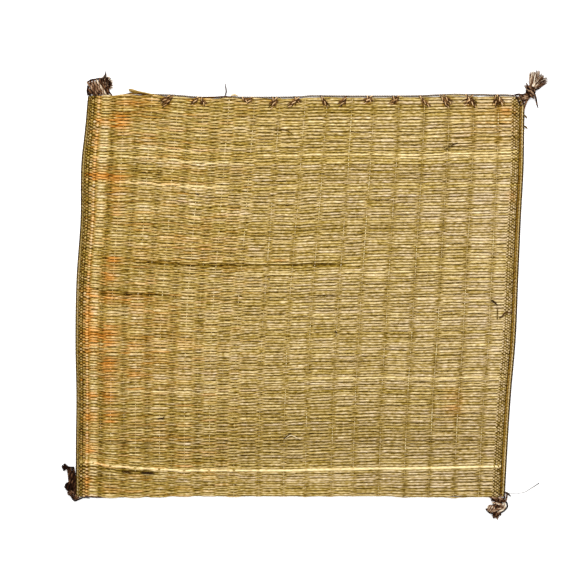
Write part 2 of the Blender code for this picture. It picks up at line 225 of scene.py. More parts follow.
class Bundle:
    """Many tubes that become one mesh, with named values on their points."""

    def __init__(self):
        self.points, self.quads, self.caps, self.values, self.count = [], [], [], {}, 0

    def add(self, centres, wide, high, sides=6, up=(0.0, 0.0, 1.0), shade=0.0, **values):
        """A tube through centres (mm); shade paints its sides darker, as painted shade in the creases
        between tubes.
        """
        centres = np.asarray(centres, float)
        n = len(centres)
        wide = np.broadcast_to(np.asarray(wide, float), n)
        high = np.broadcast_to(np.asarray(high, float), n)
        along = np.gradient(centres, axis=0)
        along /= np.linalg.norm(along, axis=1)[:, None] + TINY
        side = np.cross(np.asarray(up, float), along)
        upright = np.linalg.norm(side, axis=1) < ALMOST_UPRIGHT
        side[upright] = np.cross(SPARE_UP, along[upright])
        side /= np.linalg.norm(side, axis=1)[:, None]
        over = np.cross(along, side)
        # six sides are turned so that one corner is on top, which the painted crease shade leaves bright as
        # a thin painted highlight along the crest
        turn = 2 * np.pi * (np.arange(sides) + (0.5 if sides == 6 else 0.0)) / sides
        ring = (
            centres[:, None]
            + side[:, None] * (wide[:, None] * np.cos(turn))[..., None]
            + over[:, None] * (high[:, None] * np.sin(turn))[..., None]
        )
        first = self.count
        index = first + np.arange(n * sides).reshape(n, sides)
        low, high_ring = index[:-1], index[1:]
        quads = np.stack([low, np.roll(low, -1, 1), np.roll(high_ring, -1, 1), high_ring], -1)
        self.quads.append(quads.reshape(-1, 4))
        self.caps.append(index[0][::-1].tolist())
        self.caps.append(index[-1].tolist())
        self.points.append(ring.reshape(-1, 3))
        # painted shade: full at the two sides of each ring, none at its top and bottom
        painted_crease_shade = np.abs(np.cos(turn)) ** 2
        for name, value in values.items():
            spread = np.repeat(np.broadcast_to(np.asarray(value, float), n)[:, None], sides, 1)
            if name == "pale":
                spread = spread - shade * painted_crease_shade
            self.values.setdefault(name, []).append(spread.ravel())
        self.count += n * sides

    def build(self, name, material):
        """One object, in metres, that rides on the mat's only body."""
        faces = np.concatenate(self.quads).tolist() + self.caps
        values = {key: np.concatenate(parts) for key, parts in self.values.items()}
        made = new_object(name, np.concatenate(self.points) * MM, faces, values, material)
        made.data.shade_smooth()
        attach(made, "root")
        return made


# %% [markdown]
# ## Node materials, one small helper
#
# Each finish is a node material. This helper wires nodes by short words, so that a
# recipe reads as a list of steps: a pattern, its colours, then the shader's sockets.

# %% A small recipe book for node materials
class Recipe:
    def __init__(self, name, roughness, specular=0.35):
        self.material = bpy.data.materials.new(name)
        self.material.use_nodes = True
        self.tree = self.material.node_tree
        self.shader = self.tree.nodes["Principled BSDF"]
        self.shader.inputs["Roughness"].default_value = roughness
        self.shader.inputs["Specular IOR Level"].default_value = specular

    def node(self, kind, **settings):
        made = self.tree.nodes.new(kind)
        for key, value in settings.items():
            if key in made.inputs:
                made.inputs[key].default_value = value
            else:
                setattr(made, key, value)
        return made

    def link(self, source, target):
        self.tree.links.new(source, target)

    def value(self, name):
        """A named value that the mesh carries on its points."""
        return self.node("ShaderNodeAttribute", attribute_name=name).outputs["Fac"]

    def noise(self, scale, stretch=(1, 1, 1), detail=3.0):
        place = self.node("ShaderNodeTexCoord").outputs["Object"]
        mapping = self.node("ShaderNodeMapping")
        mapping.inputs["Scale"].default_value = stretch
        self.link(place, mapping.inputs["Vector"])
        made = self.node("ShaderNodeTexNoise", Scale=scale, Detail=detail)
        self.link(mapping.outputs[0], made.inputs["Vector"])
        return made.outputs["Fac"]

    def ramp(self, source, stops):
        made = self.node("ShaderNodeValToRGB")
        ramp = made.color_ramp
        while len(ramp.elements) < len(stops):
            ramp.elements.new(0.5)
        for element, (place, colour) in zip(ramp.elements, stops):
            element.position = place
            element.color = (*colour, 1.0)
        self.link(source, made.inputs["Fac"])
        return made.outputs["Color"]

    def sum(self, first, second, times=1.0):
        """first + (second - 0.5) * times"""
        made = self.node("ShaderNodeMath", operation="MULTIPLY_ADD")
        self.link(second, made.inputs[0])
        made.inputs[1].default_value = times
        shifted = self.node("ShaderNodeMath", operation="SUBTRACT")
        self.link(first, shifted.inputs[0])
        shifted.inputs[1].default_value = 0.5 * times
        self.link(shifted.outputs[0], made.inputs[2])
        return made.outputs[0]

    def mix(self, share, first, second):
        made = self.node("ShaderNodeMix", data_type="RGBA")
        for source, place in ((share, 0), (first, 6), (second, 7)):
            if isinstance(source, (float, tuple)):
                made.inputs[place].default_value = source if place == 0 else (*source, 1.0)
            else:
                self.link(source, made.inputs[place])
        return made.outputs[2]

    def finish(self, colour, bump=None, distance=0.0002, strength=0.6):
        self.link(colour, self.shader.inputs["Base Color"])
        if bump:
            node = self.node("ShaderNodeBump", Strength=strength, Distance=distance)
            self.link(bump, node.inputs["Height"])
            self.link(node.outputs["Normal"], self.shader.inputs["Normal"])
        return self.material


# %% [markdown]
# ## The grass finish
#
# A dry stem is straw to olive, with fine lengthways fibres. Its paleness also carries
# painted light and shade: paler where it swells over a cord and browner in its creases.
# Some stems near the left are stained orange. The mesh carries three values, for
# paleness, greyness and rust, and the material turns them into colour, so that every
# stem differs but the recipe stays one.

# %% Grass material
PALE_STOPS = (
    (0.0, (0.022, 0.009, 0.0004)),
    (0.1, (0.066, 0.032, 0.0006)),
    (0.2, (0.145, 0.086, 0.0040)),
    (0.4, (0.305, 0.204, 0.034)),
    (0.6, (0.500, 0.368, 0.132)),
    (0.8, (0.715, 0.560, 0.275)),
    (1.0, (0.935, 0.795, 0.420)),
)
GREYER_BLUE = (1.4, 1.5, 1.5, 1.5, 1.5, 1.3, 1.05)
RUSTY_STOPS = (
    (0.0, (0.085, 0.018, 0.0006)),
    (0.4, (0.40, 0.145, 0.012)),
    (0.8, (0.80, 0.39, 0.10)),
    (1.0, (0.92, 0.60, 0.30)),
)
GREYER_RED, GREYER_GREEN, GREYER_LIFT = 0.96, 0.975, 0.004
# how often each pattern repeats in a metre along x, y and z, and how much it counts
FIBRES, FIBRE_PART = (200, 1500, 900), 0.45
STREAKS, STREAK_PART = (190, 620, 400), 0.75
PATCHES, PATCH_PART = (38, 110, 50), 1.2


def grass_finish(name):
    recipe = Recipe(name, roughness=0.55, specular=0.03)
    fibres = recipe.noise(1.0, FIBRES, 4.0)
    streaks = recipe.noise(1.0, STREAKS, 2.0)
    patches = recipe.noise(1.0, PATCHES, 2.0)
    pale = recipe.sum(recipe.value("pale"), fibres, FIBRE_PART)
    pale = recipe.sum(pale, streaks, STREAK_PART)
    straw = recipe.ramp(pale, PALE_STOPS)
    greyer = [
        (place, (red * GREYER_RED, green * GREYER_GREEN, blue * more + GREYER_LIFT))
        for (place, (red, green, blue)), more in zip(PALE_STOPS, GREYER_BLUE)
    ]
    grey = recipe.sum(recipe.value("grey"), patches, PATCH_PART)
    body = recipe.mix(grey, straw, recipe.ramp(pale, greyer))
    colour = recipe.mix(recipe.value("rust"), body, recipe.ramp(pale, RUSTY_STOPS))
    return recipe.finish(colour, fibres, distance=0.00025, strength=0.5)


grass = grass_finish("dry_grass")
print(grass.name, "has", len(grass.node_tree.nodes), "nodes")

# %% [markdown]
# ## Colour values of the stems
#
# The light and dark courses, the paler right side and the orange stains near the
# left selvedge are read from the mat. Each is a soft patch with a place, a
# size and a strength, and chance does the rest, stem by stem.

# %% Patches of rust and of pale or dark stems (mm)
RUST_PATCHES = (
    # across, height, half width, half height, strength
    (-302, -55, 10, 9, 0.75), (-302, -72, 9, 12, 0.5), (-300, 0, 9, 9, 0.6), (-304, -30, 7, 14, 0.5),
    (-301, -142, 8, 6, 0.55), (-300, -173, 9, 9, 0.5), (-301, -217, 8, 7, 0.5), (-304, -263, 8, 9, 0.55),
    (-280, -60, 14, 20, 0.6), (-277, -3, 10, 8, 0.65), (-271, 44, 9, 13, 0.55), (-275, 26, 9, 10, 0.5),
    (-277, -105, 11, 22, 0.5), (-277, -144, 9, 9, 0.55), (-274, -173, 10, 12, 0.6), (-242, -6, 22, 6, 0.5),
    (-244, -111, 16, 6, 0.4), (-247, -77, 10, 9, 0.45), (-266, 131, 9, 22, 0.4), (-263, 166, 12, 7, 0.65),
    (-291, 169, 18, 4, 0.65), (-260, 242, 12, 9, 0.65), (-285, 247, 9, 6, 0.55), (-259, 254, 9, 8, 0.4),
    (-215, -75, 40, 60, 0.12), (-240, 270, 30, 12, 0.25), (210, -152, 14, 18, 0.35),
    (284, 255, 10, 14, 0.35), (-35, 49, 11, 1.6, 0.6), (292, 138, 8, 7, 0.3), (262, 240, 40, 30, 0.15),
    (-170, 60, 120, 20, 0.06), (-262, 246, 16, 9, 0.25), (-281, 168, 30, 6, 0.3),
)
TONE_COURSES = (
    # height at the middle, half height, change of paleness
    (262, 8, -0.04), (228, 5, 0.04), (170, 6, -0.03), (110, 5, 0.03),
    (66, 4, 0.02), (-25, 5, 0.03), (-78, 8, 0.04), (-118, 10, 0.03), (-150, 7, -0.02),
    (-205, 14, -0.03), (-238, 10, -0.02), (-270, 9, -0.03),
)
# the change at 300 mm to the right, and a band: across, half width, reach up, change
SIDE_TONE, SIDE_ACROSS = 0.045, 300
PALE_BAND, BAND_HALF, BAND_REACH, BAND_TONE = 275, 40, 210, 0.04


def rust_at(x, y):
    total = np.zeros_like(x)
    for across, height, wide, tall, strength in RUST_PATCHES:
        total += strength * np.exp(-(((x - across) / wide) ** 2) - ((y - height) / tall) ** 2)
    return total


def paleness_at(x, y, course):
    """Slow changes of paleness: right side paler, left side and ends darker."""
    band = BAND_TONE * np.exp(-(((x - PALE_BAND) / BAND_HALF) ** 2))
    out = SIDE_TONE * x / SIDE_ACROSS + band * (np.abs(course) < BAND_REACH)
    for height, half, change in TONE_COURSES:
        out += change * np.exp(-(((course - height) / half) ** 2))
    return out


print("rust beside the left selvedge:", round(float(rust_at(np.array(-300.0), np.array(-60.0))), 2))

# %% Where the stitches of the top edge gather the last stems (mm)
STITCH_LEGS = (
    # leaves the twine, enters the mat, how far below the edge
    (-189.5, -202.9, 9.9), (-184.0, -200.8, 16.2),
    (-149.5, -159.2, 9.9), (-146.0, -140.5, 11.3),
    (-88.0, -79.0, 7.0), (-74.0, -81.0, 7.5),
    (-45.8, -40.2, 8.5), (-38.7, -48.6, 16.9),
    (-7.7, -23.2, 13.4), (-14.1, -7.0, 7.5),
    (22.5, 33.1, 14.1), (59.9, 48.6, 14.8),
    (88.1, 93.7, 7.0), (95.1, 82.4, 9.9),
    (123.9, 130.3, 7.0), (133.1, 120.5, 11.3),
    (161.3, 176.8, 14.1),
    (190.9, 203.6, 16.2), (196.6, 207.8, 11.3),
    (237.4, 224.7, 14.1), (227.5, 241.6, 16.2),
    (268.4, 269.8, 16.9), (271.9, 279.7, 14.1),
)
# painted shade round each stitch: its size across and up, its darkness and the most it adds to, and its
# place below the top edge
STITCH_SHADE_WIDE, STITCH_SHADE_TALL, STITCH_SHADE, STITCH_SHADE_MOST = 4.0, 5.0, 0.20, 0.28
STITCH_SHADE_EDGE, STITCH_SHADE_DOWN = 280, 0.6


def stitch_shade_at(x, y):
    """Painted shade: darker stems round each stitch, where its legs lie over them."""
    total = np.zeros_like(x)
    for leaves, enters, depth in STITCH_LEGS:
        across, up = (leaves + enters) / 2, STITCH_SHADE_EDGE - STITCH_SHADE_DOWN * depth
        total -= STITCH_SHADE * np.exp(-(((x - across) / STITCH_SHADE_WIDE) ** 2) - ((y - up) / STITCH_SHADE_TALL) ** 2)
    return np.maximum(total, -STITCH_SHADE_MOST)


print(len(STITCH_LEGS), "legs of stitches gather the stems")

# %% Gaps between stems, and bright stems (mm)
STEM_GAPS = (
    # a point beside the gap, where it starts and ends, how wide it opens
    ((-100.0, 41.5), (-225, 60), 1.5), ((-240.0, 0.5), (-290, -190), 1.4),
    ((-232.0, -250.5), (-258, -206), 1.5), ((-200.0, -168.5), (-240, -130), 0.5),
    ((240.0, 160.0), (180, 300), 0.5), ((20.0, 96.0), (-40, 60), 0.4),
    ((120.0, -60.0), (60, 160), 0.4), ((-60.0, 200.0), (-160, -10), 0.4),
    ((100.0, -190.0), (60, 150), 0.4),
)
BRIGHT_STEMS = (
    # a point on the stem, how much paler it is, where it starts and ends
    ((-168.0, -247.5), 0.36, (-302, 300)), ((60.0, 196.0), 0.16, (-60, 320)),
    ((-240.0, 205.0), 0.24, (-282, -150)), ((-200.0, 151.5), 0.22, (-262, -120)),
    ((-140.0, 185.0), 0.18, (-300, -90)), ((230.0, 193.0), 0.22, (120, 300)),
    ((-240.0, -139.5), 0.16, (-280, -100)), ((150.0, -120.0), 0.16, (60, 300)),
    ((60.0, 30.0), 0.12, (-100, 200)),
)
print(len(STEM_GAPS), "gaps and", len(BRIGHT_STEMS), "bright stems")

# %% [markdown]
# ## The stems
#
# A stem swells where it lies on top of a cord and narrows where it dips under the
# next one. That swelling is what makes the basket pattern, so each stem is its own
# tube whose height and width both follow the over-and-under. Drawing it as a bumpy
# sheet would lose the dark slits between stems.

# %% Measures of a stem (mm)
STEM_COUNT = 285
STEM_MIDDLE, STEM_SWING = 1.62, 0.70
STEM_HALF_WIDE, STEM_HALF_HIGH = 1.28, 0.74
WIDTH_SPREAD, WIDTH_LIMIT = 0.12, 1.8

widths = 1 + WIDTH_SPREAD * rng.standard_normal(STEM_COUNT).clip(-WIDTH_LIMIT, WIDTH_LIMIT)
rises = (np.cumsum(widths) - widths / 2) / widths.sum()
print("stems are", np.round(2 * STEM_HALF_WIDE * np.array([widths.min(), widths.max()]), 1), "mm wide")

# %% Rings along a stem, some between each two cords
RING_PARTS, SELVEDGE_PARTS = (0.0, 0.14, 0.38, 0.62, 0.86), (0.0, 0.5)
CLOSE_CORDS = 0.01
FIELD_LEFT, FIELD_RIGHT = 0.0266, 0.970

places = []
for i in range(len(cords) - 1):
    closer = cord_shares[i + 1] - cord_shares[i] < CLOSE_CORDS
    places.extend(i + np.array(SELVEDGE_PARTS if closer else RING_PARTS))
places = np.array([*places, len(cords) - 1.0])
interval = np.minimum(places.astype(int), len(cords) - 2)
part = places - interval
shares = np.interp(places, np.arange(len(cords)), cord_shares)
in_field = (shares > FIELD_LEFT) & (shares < FIELD_RIGHT)
kinds = np.array([kind for share, kind in cords])
# 1 on a tight cord, -1 on a deep one, 0 in the selvedges
sign = np.where((kinds[interval] == "tight") | (kinds[interval] == "first"), 1.0, -1.0)
nearness = np.where(in_field, sign * np.cos(np.pi * part), 0.0)
print(len(shares), "rings along each stem")

# %% Which set of cords the long floats lie on
# Near the left the long floats lie over the tight cords, elsewhere over the deep ones.
FLOAT_TURN, FLOAT_BLEND = 0.34, 0.07
LEFT_BIAS, RIGHT_BIAS = 0.45, 0.92
LEFT_GAIN, RIGHT_GAIN, SELVEDGE_GAIN = 1.8, 3.0, 1.2
GAIN_FROM, GAIN_TO = FLOAT_TURN - 0.05, FLOAT_TURN + 0.10
RIPPLE, RIPPLE_RATE = 0.15, 37


def float_side(share):
    """Positive where the long floats lie on the tight cords, negative elsewhere."""
    turn = (FLOAT_TURN - share) / FLOAT_BLEND
    return np.where(turn > 0, LEFT_BIAS, RIGHT_BIAS) * np.tanh(turn)


gain = np.interp(cord_shares, (GAIN_FROM, GAIN_TO), (LEFT_GAIN, RIGHT_GAIN))


def over_under(stem, share):
    """From 1, on top of a cord, to -1, below one, along a stem."""
    on_top = np.where((interval + stem) % 2 == 0, 1.0, -1.0)
    wave = on_top * np.cos(np.pi * part)
    lift = (float_side(share) + RIPPLE * np.sin(RIPPLE_RATE * share + stem)) * on_top * sign
    steepness = np.where(in_field, np.interp(share, cord_shares, gain), SELVEDGE_GAIN)
    return np.clip(steepness * (wave + np.where(in_field, lift, 0.0)), -1, 1)


print("the floats change sides", round(FLOAT_TURN * MAT_ACROSS), "mm from the left edge")

# %% Chance values along a stem
def per_float(stem, spread, keep=0.0):
    """A chance value for each float of a stem, part of it kept from float to float."""
    values = rng.standard_normal(len(cords) // 2 + 3)
    for i in range(1, len(values)):
        values[i] = keep * values[i - 1] + math.sqrt(1 - keep**2) * values[i]
    return spread * values[np.floor((places - stem % 2 + 1) / 2).astype(int) + 1]


def wander(spread, knots, along=shares):
    """A smooth chance value along a stem or a cord."""
    return spread * np.interp(along, np.linspace(0, 1, knots), rng.standard_normal(knots))


# %% Stems that open a gap, and bright ones
GAP_REACH, GAP_FADE = 3.5, 4
GAP_DARK, GAP_DARKEST = 0.14, 0.22


def stem_beside(point):
    """The number of the first stem above a point of the mat."""
    left, right = CORD_LEAN[4, 1], CORD_LEAN[4, 5]
    share = (point[0] - left) / (right - left)
    return int(np.searchsorted(mat_points(np.full(STEM_COUNT, share), rises)[1], point[1]))


gap_stems = [(stem_beside(point), ends, width) for point, ends, width in STEM_GAPS]
bright_stems = [(stem_beside(point), change, ends) for point, change, ends in BRIGHT_STEMS]


def within(x, ends):
    """1 between two ends, fading to 0 over a few millimetres outside them."""
    return 1 / (1 + np.exp(-(x - ends[0]) / GAP_FADE)) / (1 + np.exp((x - ends[1]) / GAP_FADE))


def opened(stem, x):
    """How far a stem is pushed up or down by the gaps near it (mm)."""
    push = np.zeros_like(x)
    for above, ends, width in gap_stems:
        away = stem - above + 0.5
        push += math.copysign(0.5 * width, away) * math.exp(-abs(away) / GAP_REACH) * within(x, ends)
    return push


def gap_shade(stem, x):
    """The two stems beside a gap are shaded by each other."""
    shade = np.zeros_like(x)
    for above, ends, width in gap_stems:
        if stem in (above - 1, above):
            shade += min(GAP_DARKEST, GAP_DARK * width) * within(x, ends)
    return shade


def change_at(stem):
    """The largest change of paleness on a stem that is one of the bright ones."""
    changes = [change for above, change, ends in bright_stems if stem in (above, above + 1)]
    return max(changes, default=0.0)


print("stems above the gaps:", [above for above, ends, width in gap_stems])

# %% The brightest stem, which lies across the whole mat
STRAIGHT_STEM = bright_stems[0][0]
STRAIGHT_REACH, STRAIGHT_LEAST = 7.0, 0.1
CLIMB_ACROSS, CLIMB_RISE, CLIMB_REACH = (-310, -258, -225, -165), (8.6, 4.4, 1.6, 0.0), 12


def climb(stem, x):
    """Near its left end the bright stem, and less so its neighbours, rise (mm)."""
    rise = np.interp(x, CLIMB_ACROSS, CLIMB_RISE)
    return rise * math.exp(-abs(stem - STRAIGHT_STEM) / CLIMB_REACH)


def straighter(stem):
    """Less drift near the bright stem."""
    return min(1.0, STRAIGHT_LEAST + abs(stem - STRAIGHT_STEM) / STRAIGHT_REACH)


print("the brightest is stem", STRAIGHT_STEM)

# %% [markdown]
# ## What changes from column to column
#
# The cords leave upright stripes in the mat: dark ones at the selvedges, a cream and
# an orange one at the left, and pinched dotted ones over the tight cords. They could
# be painted across all the stems at once. Here each ring of each stem gets its own
# tone and width, so that a stripe stays as uneven as the stems that cross it. The dark
# pinches over the tight cords at the right, and the paler and darker stems over the
# tight and deep cords at the left, are painted light and shade.

# %% Tone and width that change from column to column
LEFT_END, LEFT_BLEND = 0.36, 0.08
RIGHT_SHARES, RIGHT_PARTS = (0.30, 0.42, 0.62, 0.80), (0.0, 0.5, 0.65, 1.0)
LEFT_CORD_TONE_AND_SHADE, RIGHT_PINCH_SHADE = 0.04, 0.16
RIGHT_PINCH, LEFT_PINCH = 0.30, 0.20
LEFT_DARK_TO, LEFT_DARK, RIGHT_DARK = 0.022, -0.35, -0.33
ORANGE_PLACE, ORANGE_HALF = 0.0265, 0.0045
COLUMN_TONES = (
    # place, half width, change of paleness
    (0.041, 0.009, 0.05), (0.059, 0.008, -0.07), (ORANGE_PLACE, ORANGE_HALF, -0.08),
)
# painted light and shade along a stem: paler on top of a cord, darker where it dips; stronger in the
# selvedges and the cream column
FIELD_LENS_SHADE, SELVEDGE_LENS_SHADE, CREAM_LENS_SHADE = 0.04, 0.34, 0.06
CREAM_FROM, CREAM_TO = 0.027, 0.05
SWELL, SELVEDGE_SWELL = 0.36, 0.55

left_part = 0.5 * (1 + np.tanh((LEFT_END - shares) / LEFT_BLEND))
right_part = np.interp(shares, RIGHT_SHARES, RIGHT_PARTS)
tight_near, deep_near = np.maximum(nearness, 0) ** 6, np.maximum(-nearness, 0) ** 2
pinch = 1 - RIGHT_PINCH * tight_near * right_part - LEFT_PINCH * deep_near * left_part
# painted light and shade of the cords: at the left paler over tight cords and darker over deep ones, at the
# right darker in the pinches over tight cords; the dark selvedges and stripes added after it are the stems'
# own tones
column_tone_and_shade = LEFT_CORD_TONE_AND_SHADE * nearness * left_part - RIGHT_PINCH_SHADE * tight_near * right_part
column_tone_and_shade = column_tone_and_shade + np.where(shares < LEFT_DARK_TO, LEFT_DARK, 0.0)
column_tone_and_shade = column_tone_and_shade + np.where(shares > FIELD_RIGHT, RIGHT_DARK, 0.0)
for place, half, change in COLUMN_TONES:
    column_tone_and_shade = column_tone_and_shade + change * np.exp(-(((shares - place) / half) ** 2))
orange_column = np.exp(-(((shares - ORANGE_PLACE) / ORANGE_HALF) ** 2))
lens_light_and_shade = np.where(in_field, FIELD_LENS_SHADE, SELVEDGE_LENS_SHADE)
lens_light_and_shade = lens_light_and_shade + CREAM_LENS_SHADE * (shares > CREAM_FROM) * (shares < CREAM_TO)
swell = np.where(in_field, SWELL, SELVEDGE_SWELL)
print("column tones from", round(float(column_tone_and_shade.min()), 2), "to", round(float(column_tone_and_shade.max()), 2))

# %% [markdown]
# ## One stem, its run, its size and its colour
#
# No stem of the real mat is straight or even. A row could be copied and shifted, but
# the eye finds a copied row at once. Each stem here takes slow waves that it shares
# with its neighbours, and small chance steps of its own at every float.

# %% How one stem runs (mm)
SLANT = 0.9
SLOW_WANDER, SLOW_KNOTS, QUICK_WANDER, QUICK_KNOTS = 0.16, 12, 0.12, 40
FLOAT_STEP, FLOAT_TILT, RING_SPREAD, STRAIGHT_CALM = 0.14, 0.28, 0.10, 0.2
DRIFT_AT_EDGE, DRIFT_GROWTH = 0.3, 6


def drift(x, y):
    """Slow waves that neighbouring stems share; their lengths differ, so none repeats."""
    first = 0.26 * np.sin(x / 19 + y / 9 + 2 * np.sin(y / 31))
    second = 0.26 * np.sin(x / 27 - y / 13 + 1.5 * np.sin(x / 60))
    return first + second - 0.3 * np.sin(x / 47 + y / 47)


def stem_run(n):
    """Where the rings of a stem lie across and up the mat."""
    left_in, right_in = edge_insets(rises[n])
    drawn_in = shares + np.maximum(0, FADE_LEFT - shares) * left_in / FADE_IN
    drawn_in = drawn_in - np.maximum(0, shares - FADE_RIGHT) * right_in / FADE_IN
    x, y = mat_points(drawn_in, rises[n])
    centre = 2 * np.floor((places - n % 2 + 1) / 2) + n % 2
    calm = STRAIGHT_CALM if n == STRAIGHT_STEM else 1.0
    own = wander(SLOW_WANDER, SLOW_KNOTS) + wander(QUICK_WANDER, QUICK_KNOTS) + per_float(n, FLOAT_STEP)
    y = y + calm * own + opened(n, x) + climb(n, x)
    at_edge = np.minimum(1, DRIFT_GROWTH * min(rises[n], 1 - rises[n]) + DRIFT_AT_EDGE)
    y = y + straighter(n) * drift(x, y) * at_edge
    jitter = RING_SPREAD * rng.standard_normal(len(shares))
    jitter = jitter + per_float(n, FLOAT_TILT) * np.cos(np.pi / 2 * (places - centre))
    return x, y + calm * jitter - SLANT * (places - centre) * ~in_field


print("stem 0 starts at", np.round(mat_points(shares[0], rises[0]), 1).tolist())

# %% How wide and high one stem is (mm)
STRAIGHT_FAT = 1.3
FAT_SPREAD, FAT_KEEP = 0.07, 0.4
HIGH_SWELL, ABOVE_FLOOR = 0.10, 0.03


def stem_size(n, lens, z):
    """Half the width and half the height of a stem at its rings."""
    fat = widths[n] if n != STRAIGHT_STEM else STRAIGHT_FAT
    fat = fat * (1 + per_float(n, FAT_SPREAD, FAT_KEEP) + FAT_SPREAD * rng.standard_normal(len(shares)))
    wide = STEM_HALF_WIDE * fat * (1 + swell * lens) * pinch
    high = STEM_HALF_HIGH * (1 + HIGH_SWELL * lens)
    return wide, np.minimum(high, z - ABOVE_FLOOR)


print("a stem swells by", SWELL, "of its width on top of a cord")

# %% How pale, grey and rusty one stem is
heights_middle = mat_points(0.5, rises)[1]
PALE_MIDDLE, OWN_SPREAD, BLADE_SPREAD, FLOAT_SPREAD, RING_TONE = 0.61, 0.022, 0.02, 0.036, 0.06
PALE_LIMIT, STRAIGHT_LIMIT, STRAIGHT_DIP_SHADE = 0.86, 0.98, 0.5
GREY_MIDDLE, GREY_RIGHT, GREY_SELVEDGE, GREY_SPREAD, GREY_KNOTS = 0.36, 0.25, 0.4, 0.15, 30
STAIN_OWN, STAIN_FLOAT, STAIN_LEAST, STAIN_MOST = 0.45, 0.5, 0.1, 2.4
STITCH_SHADE_RUST, OCHRE_SPREAD, RUST_LEAST, ORANGE_RUST, RUST_LIMIT = 1.6, 0.16, 0.03, 0.65, 0.95


def stem_paleness(n, x, y, lens, blades):
    """Paler on top of a cord and darker where it dips, beside a gap or by a stitch: painted light and shade
    over the stem's own tone.
    """
    own = OWN_SPREAD * rng.standard_normal()
    pale = PALE_MIDDLE + own + BLADE_SPREAD * blades + per_float(n, FLOAT_SPREAD)
    # painted light and shade: paler over a cord, darker in a dip, and the painted shade of the cord columns
    pale = pale + lens_light_and_shade * lens + column_tone_and_shade
    pale = pale + RING_TONE * rng.standard_normal(len(shares))
    pale = pale + paleness_at(x, y, heights_middle[n]) + stitch_shade_at(x, y)
    for above, change, ends in bright_stems:
        if n in (above, above + 1) and n != STRAIGHT_STEM + 1:
            pale = pale + change * within(x, ends)
    pale = np.minimum(pale, STRAIGHT_LIMIT if n == STRAIGHT_STEM else PALE_LIMIT) - gap_shade(n, x)
    # painted shade: the bright stem is darker where it meets a cord that it would dip under
    return pale - STRAIGHT_DIP_SHADE * (lens < 0) if n == STRAIGHT_STEM else pale


def stem_greyness(n, x, blades):
    """Greyer to the right and in the selvedges, and none on a bright stem."""
    grey = GREY_MIDDLE + GREY_RIGHT * x / SIDE_ACROSS + GREY_SELVEDGE * ~in_field
    grey = grey + GREY_SPREAD * rng.standard_normal() + GREY_SPREAD * blades
    return np.clip(grey + wander(GREY_SPREAD, GREY_KNOTS), 0, 1) * (change_at(n) == 0)


def stem_rust(n, x, y):
    """The rust patches, the orange column, some ochre floats at the left, and a browner tint for the
    painted shade round the stitches.
    """
    stain = 1.0 + STAIN_OWN * rng.standard_normal() + per_float(n, STAIN_FLOAT)
    stain = np.clip(stain, STAIN_LEAST, STAIN_MOST)
    # the painted shade round each stitch is also made browner here
    rust = rust_at(x, y) * stain - STITCH_SHADE_RUST * stitch_shade_at(x, y)
    ochre = np.maximum(per_float(n, OCHRE_SPREAD), 0) * left_part
    rust = rust + ochre + RUST_LEAST + orange_column * rng.uniform(0.0, ORANGE_RUST)
    return np.clip(rust, 0, RUST_LIMIT)


print("stems are", PALE_MIDDLE, "pale before chance")

# %% Build the stems, in four pieces
PIECE_COUNT = 4
# how much painted shade darkens the sides of each stem, in the creases between stems
CREASE_SHADE = 0.39
BLADE_KNOTS = 6
FULL_DIP, AT_CORD, LOW_LENS, HIGH_LENS = -0.98, 0.01, -0.5, 0.95

bundles = [Bundle() for _ in range(PIECE_COUNT)]
for n in range(STEM_COUNT):
    lens = over_under(n, shares)
    if n == STRAIGHT_STEM:
        # it stays on top, but for a short break at each cord that it would dip under
        lens = np.where((lens < FULL_DIP) & (part < AT_CORD), LOW_LENS, HIGH_LENS)
    x, y = stem_run(n)
    z = STEM_MIDDLE + STEM_SWING * lens
    wide, high = stem_size(n, lens, z)
    blades = np.interp(shares, np.sort(rng.random(BLADE_KNOTS)), rng.standard_normal(BLADE_KNOTS))
    pale = stem_paleness(n, x, y, lens, blades)
    grey = stem_greyness(n, x, blades)
    bundles[n * PIECE_COUNT // STEM_COUNT].add(
        np.stack([x, y, z], 1), wide, high, 6, shade=CREASE_SHADE,
        pale=pale, grey=grey, rust=stem_rust(n, x, y),
    )
stems = [b.build(f"stems_{i + 1}", grass) for i, b in enumerate(bundles)]
for piece in stems:
    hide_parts("mat")

# %% [markdown]
# ## The lengthways cords
#
# A cord runs over a stem where the stem dips and under it where the stem rises, so
# its height is the stem's height turned over. It could be one straight bar hidden
# below, but then the pale dots between the stems would be missing.

# %% Measures and threads (mm)
THREADS = {
    # radius, paleness, how much the paleness changes along the cord
    # the deep cords are darker than the tight ones and the selvedge cords near black: painted shade for
    # sunken cords and for the dark dots in the selvedge dips
    "tight": (0.55, 0.62, 0.20), "deep": (0.40, 0.35, 0.12), "first": (0.30, 0.35, 0.10),
    "selvedge": (0.60, 0.10, 0.10),
}
THREAD_SWING, THREAD_SWELL, THREAD_WANDER, THREAD_KNOTS = 0.62, 0.25, 0.25, 24
THREAD_TONES, THREAD_GREY, THREAD_RUST = 40, 0.5, 0.5

threads = Bundle()
for c, (share, kind) in enumerate(cords):
    if c in (0, len(cords) - 1):
        continue
    radius, paleness, change = THREADS[kind]
    lift = np.where((c + np.arange(STEM_COUNT)) % 2 == 0, -1.0, 1.0)
    x, y = mat_points(share, rises)
    x = x + wander(THREAD_WANDER, THREAD_KNOTS, rises)
    z = STEM_MIDDLE + THREAD_SWING * lift
    pale = paleness + wander(change, THREAD_TONES, rises)
    threads.add(
        np.stack([x, y, z], 1), radius * (1 + THREAD_SWELL * lift), radius, 4, up=(1.0, 0.0, 0.0),
        pale=pale, grey=THREAD_GREY, rust=THREAD_RUST * rust_at(x, y),
    )
cord_threads = threads.build("lengthways_cords", grass)
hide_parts("mat")

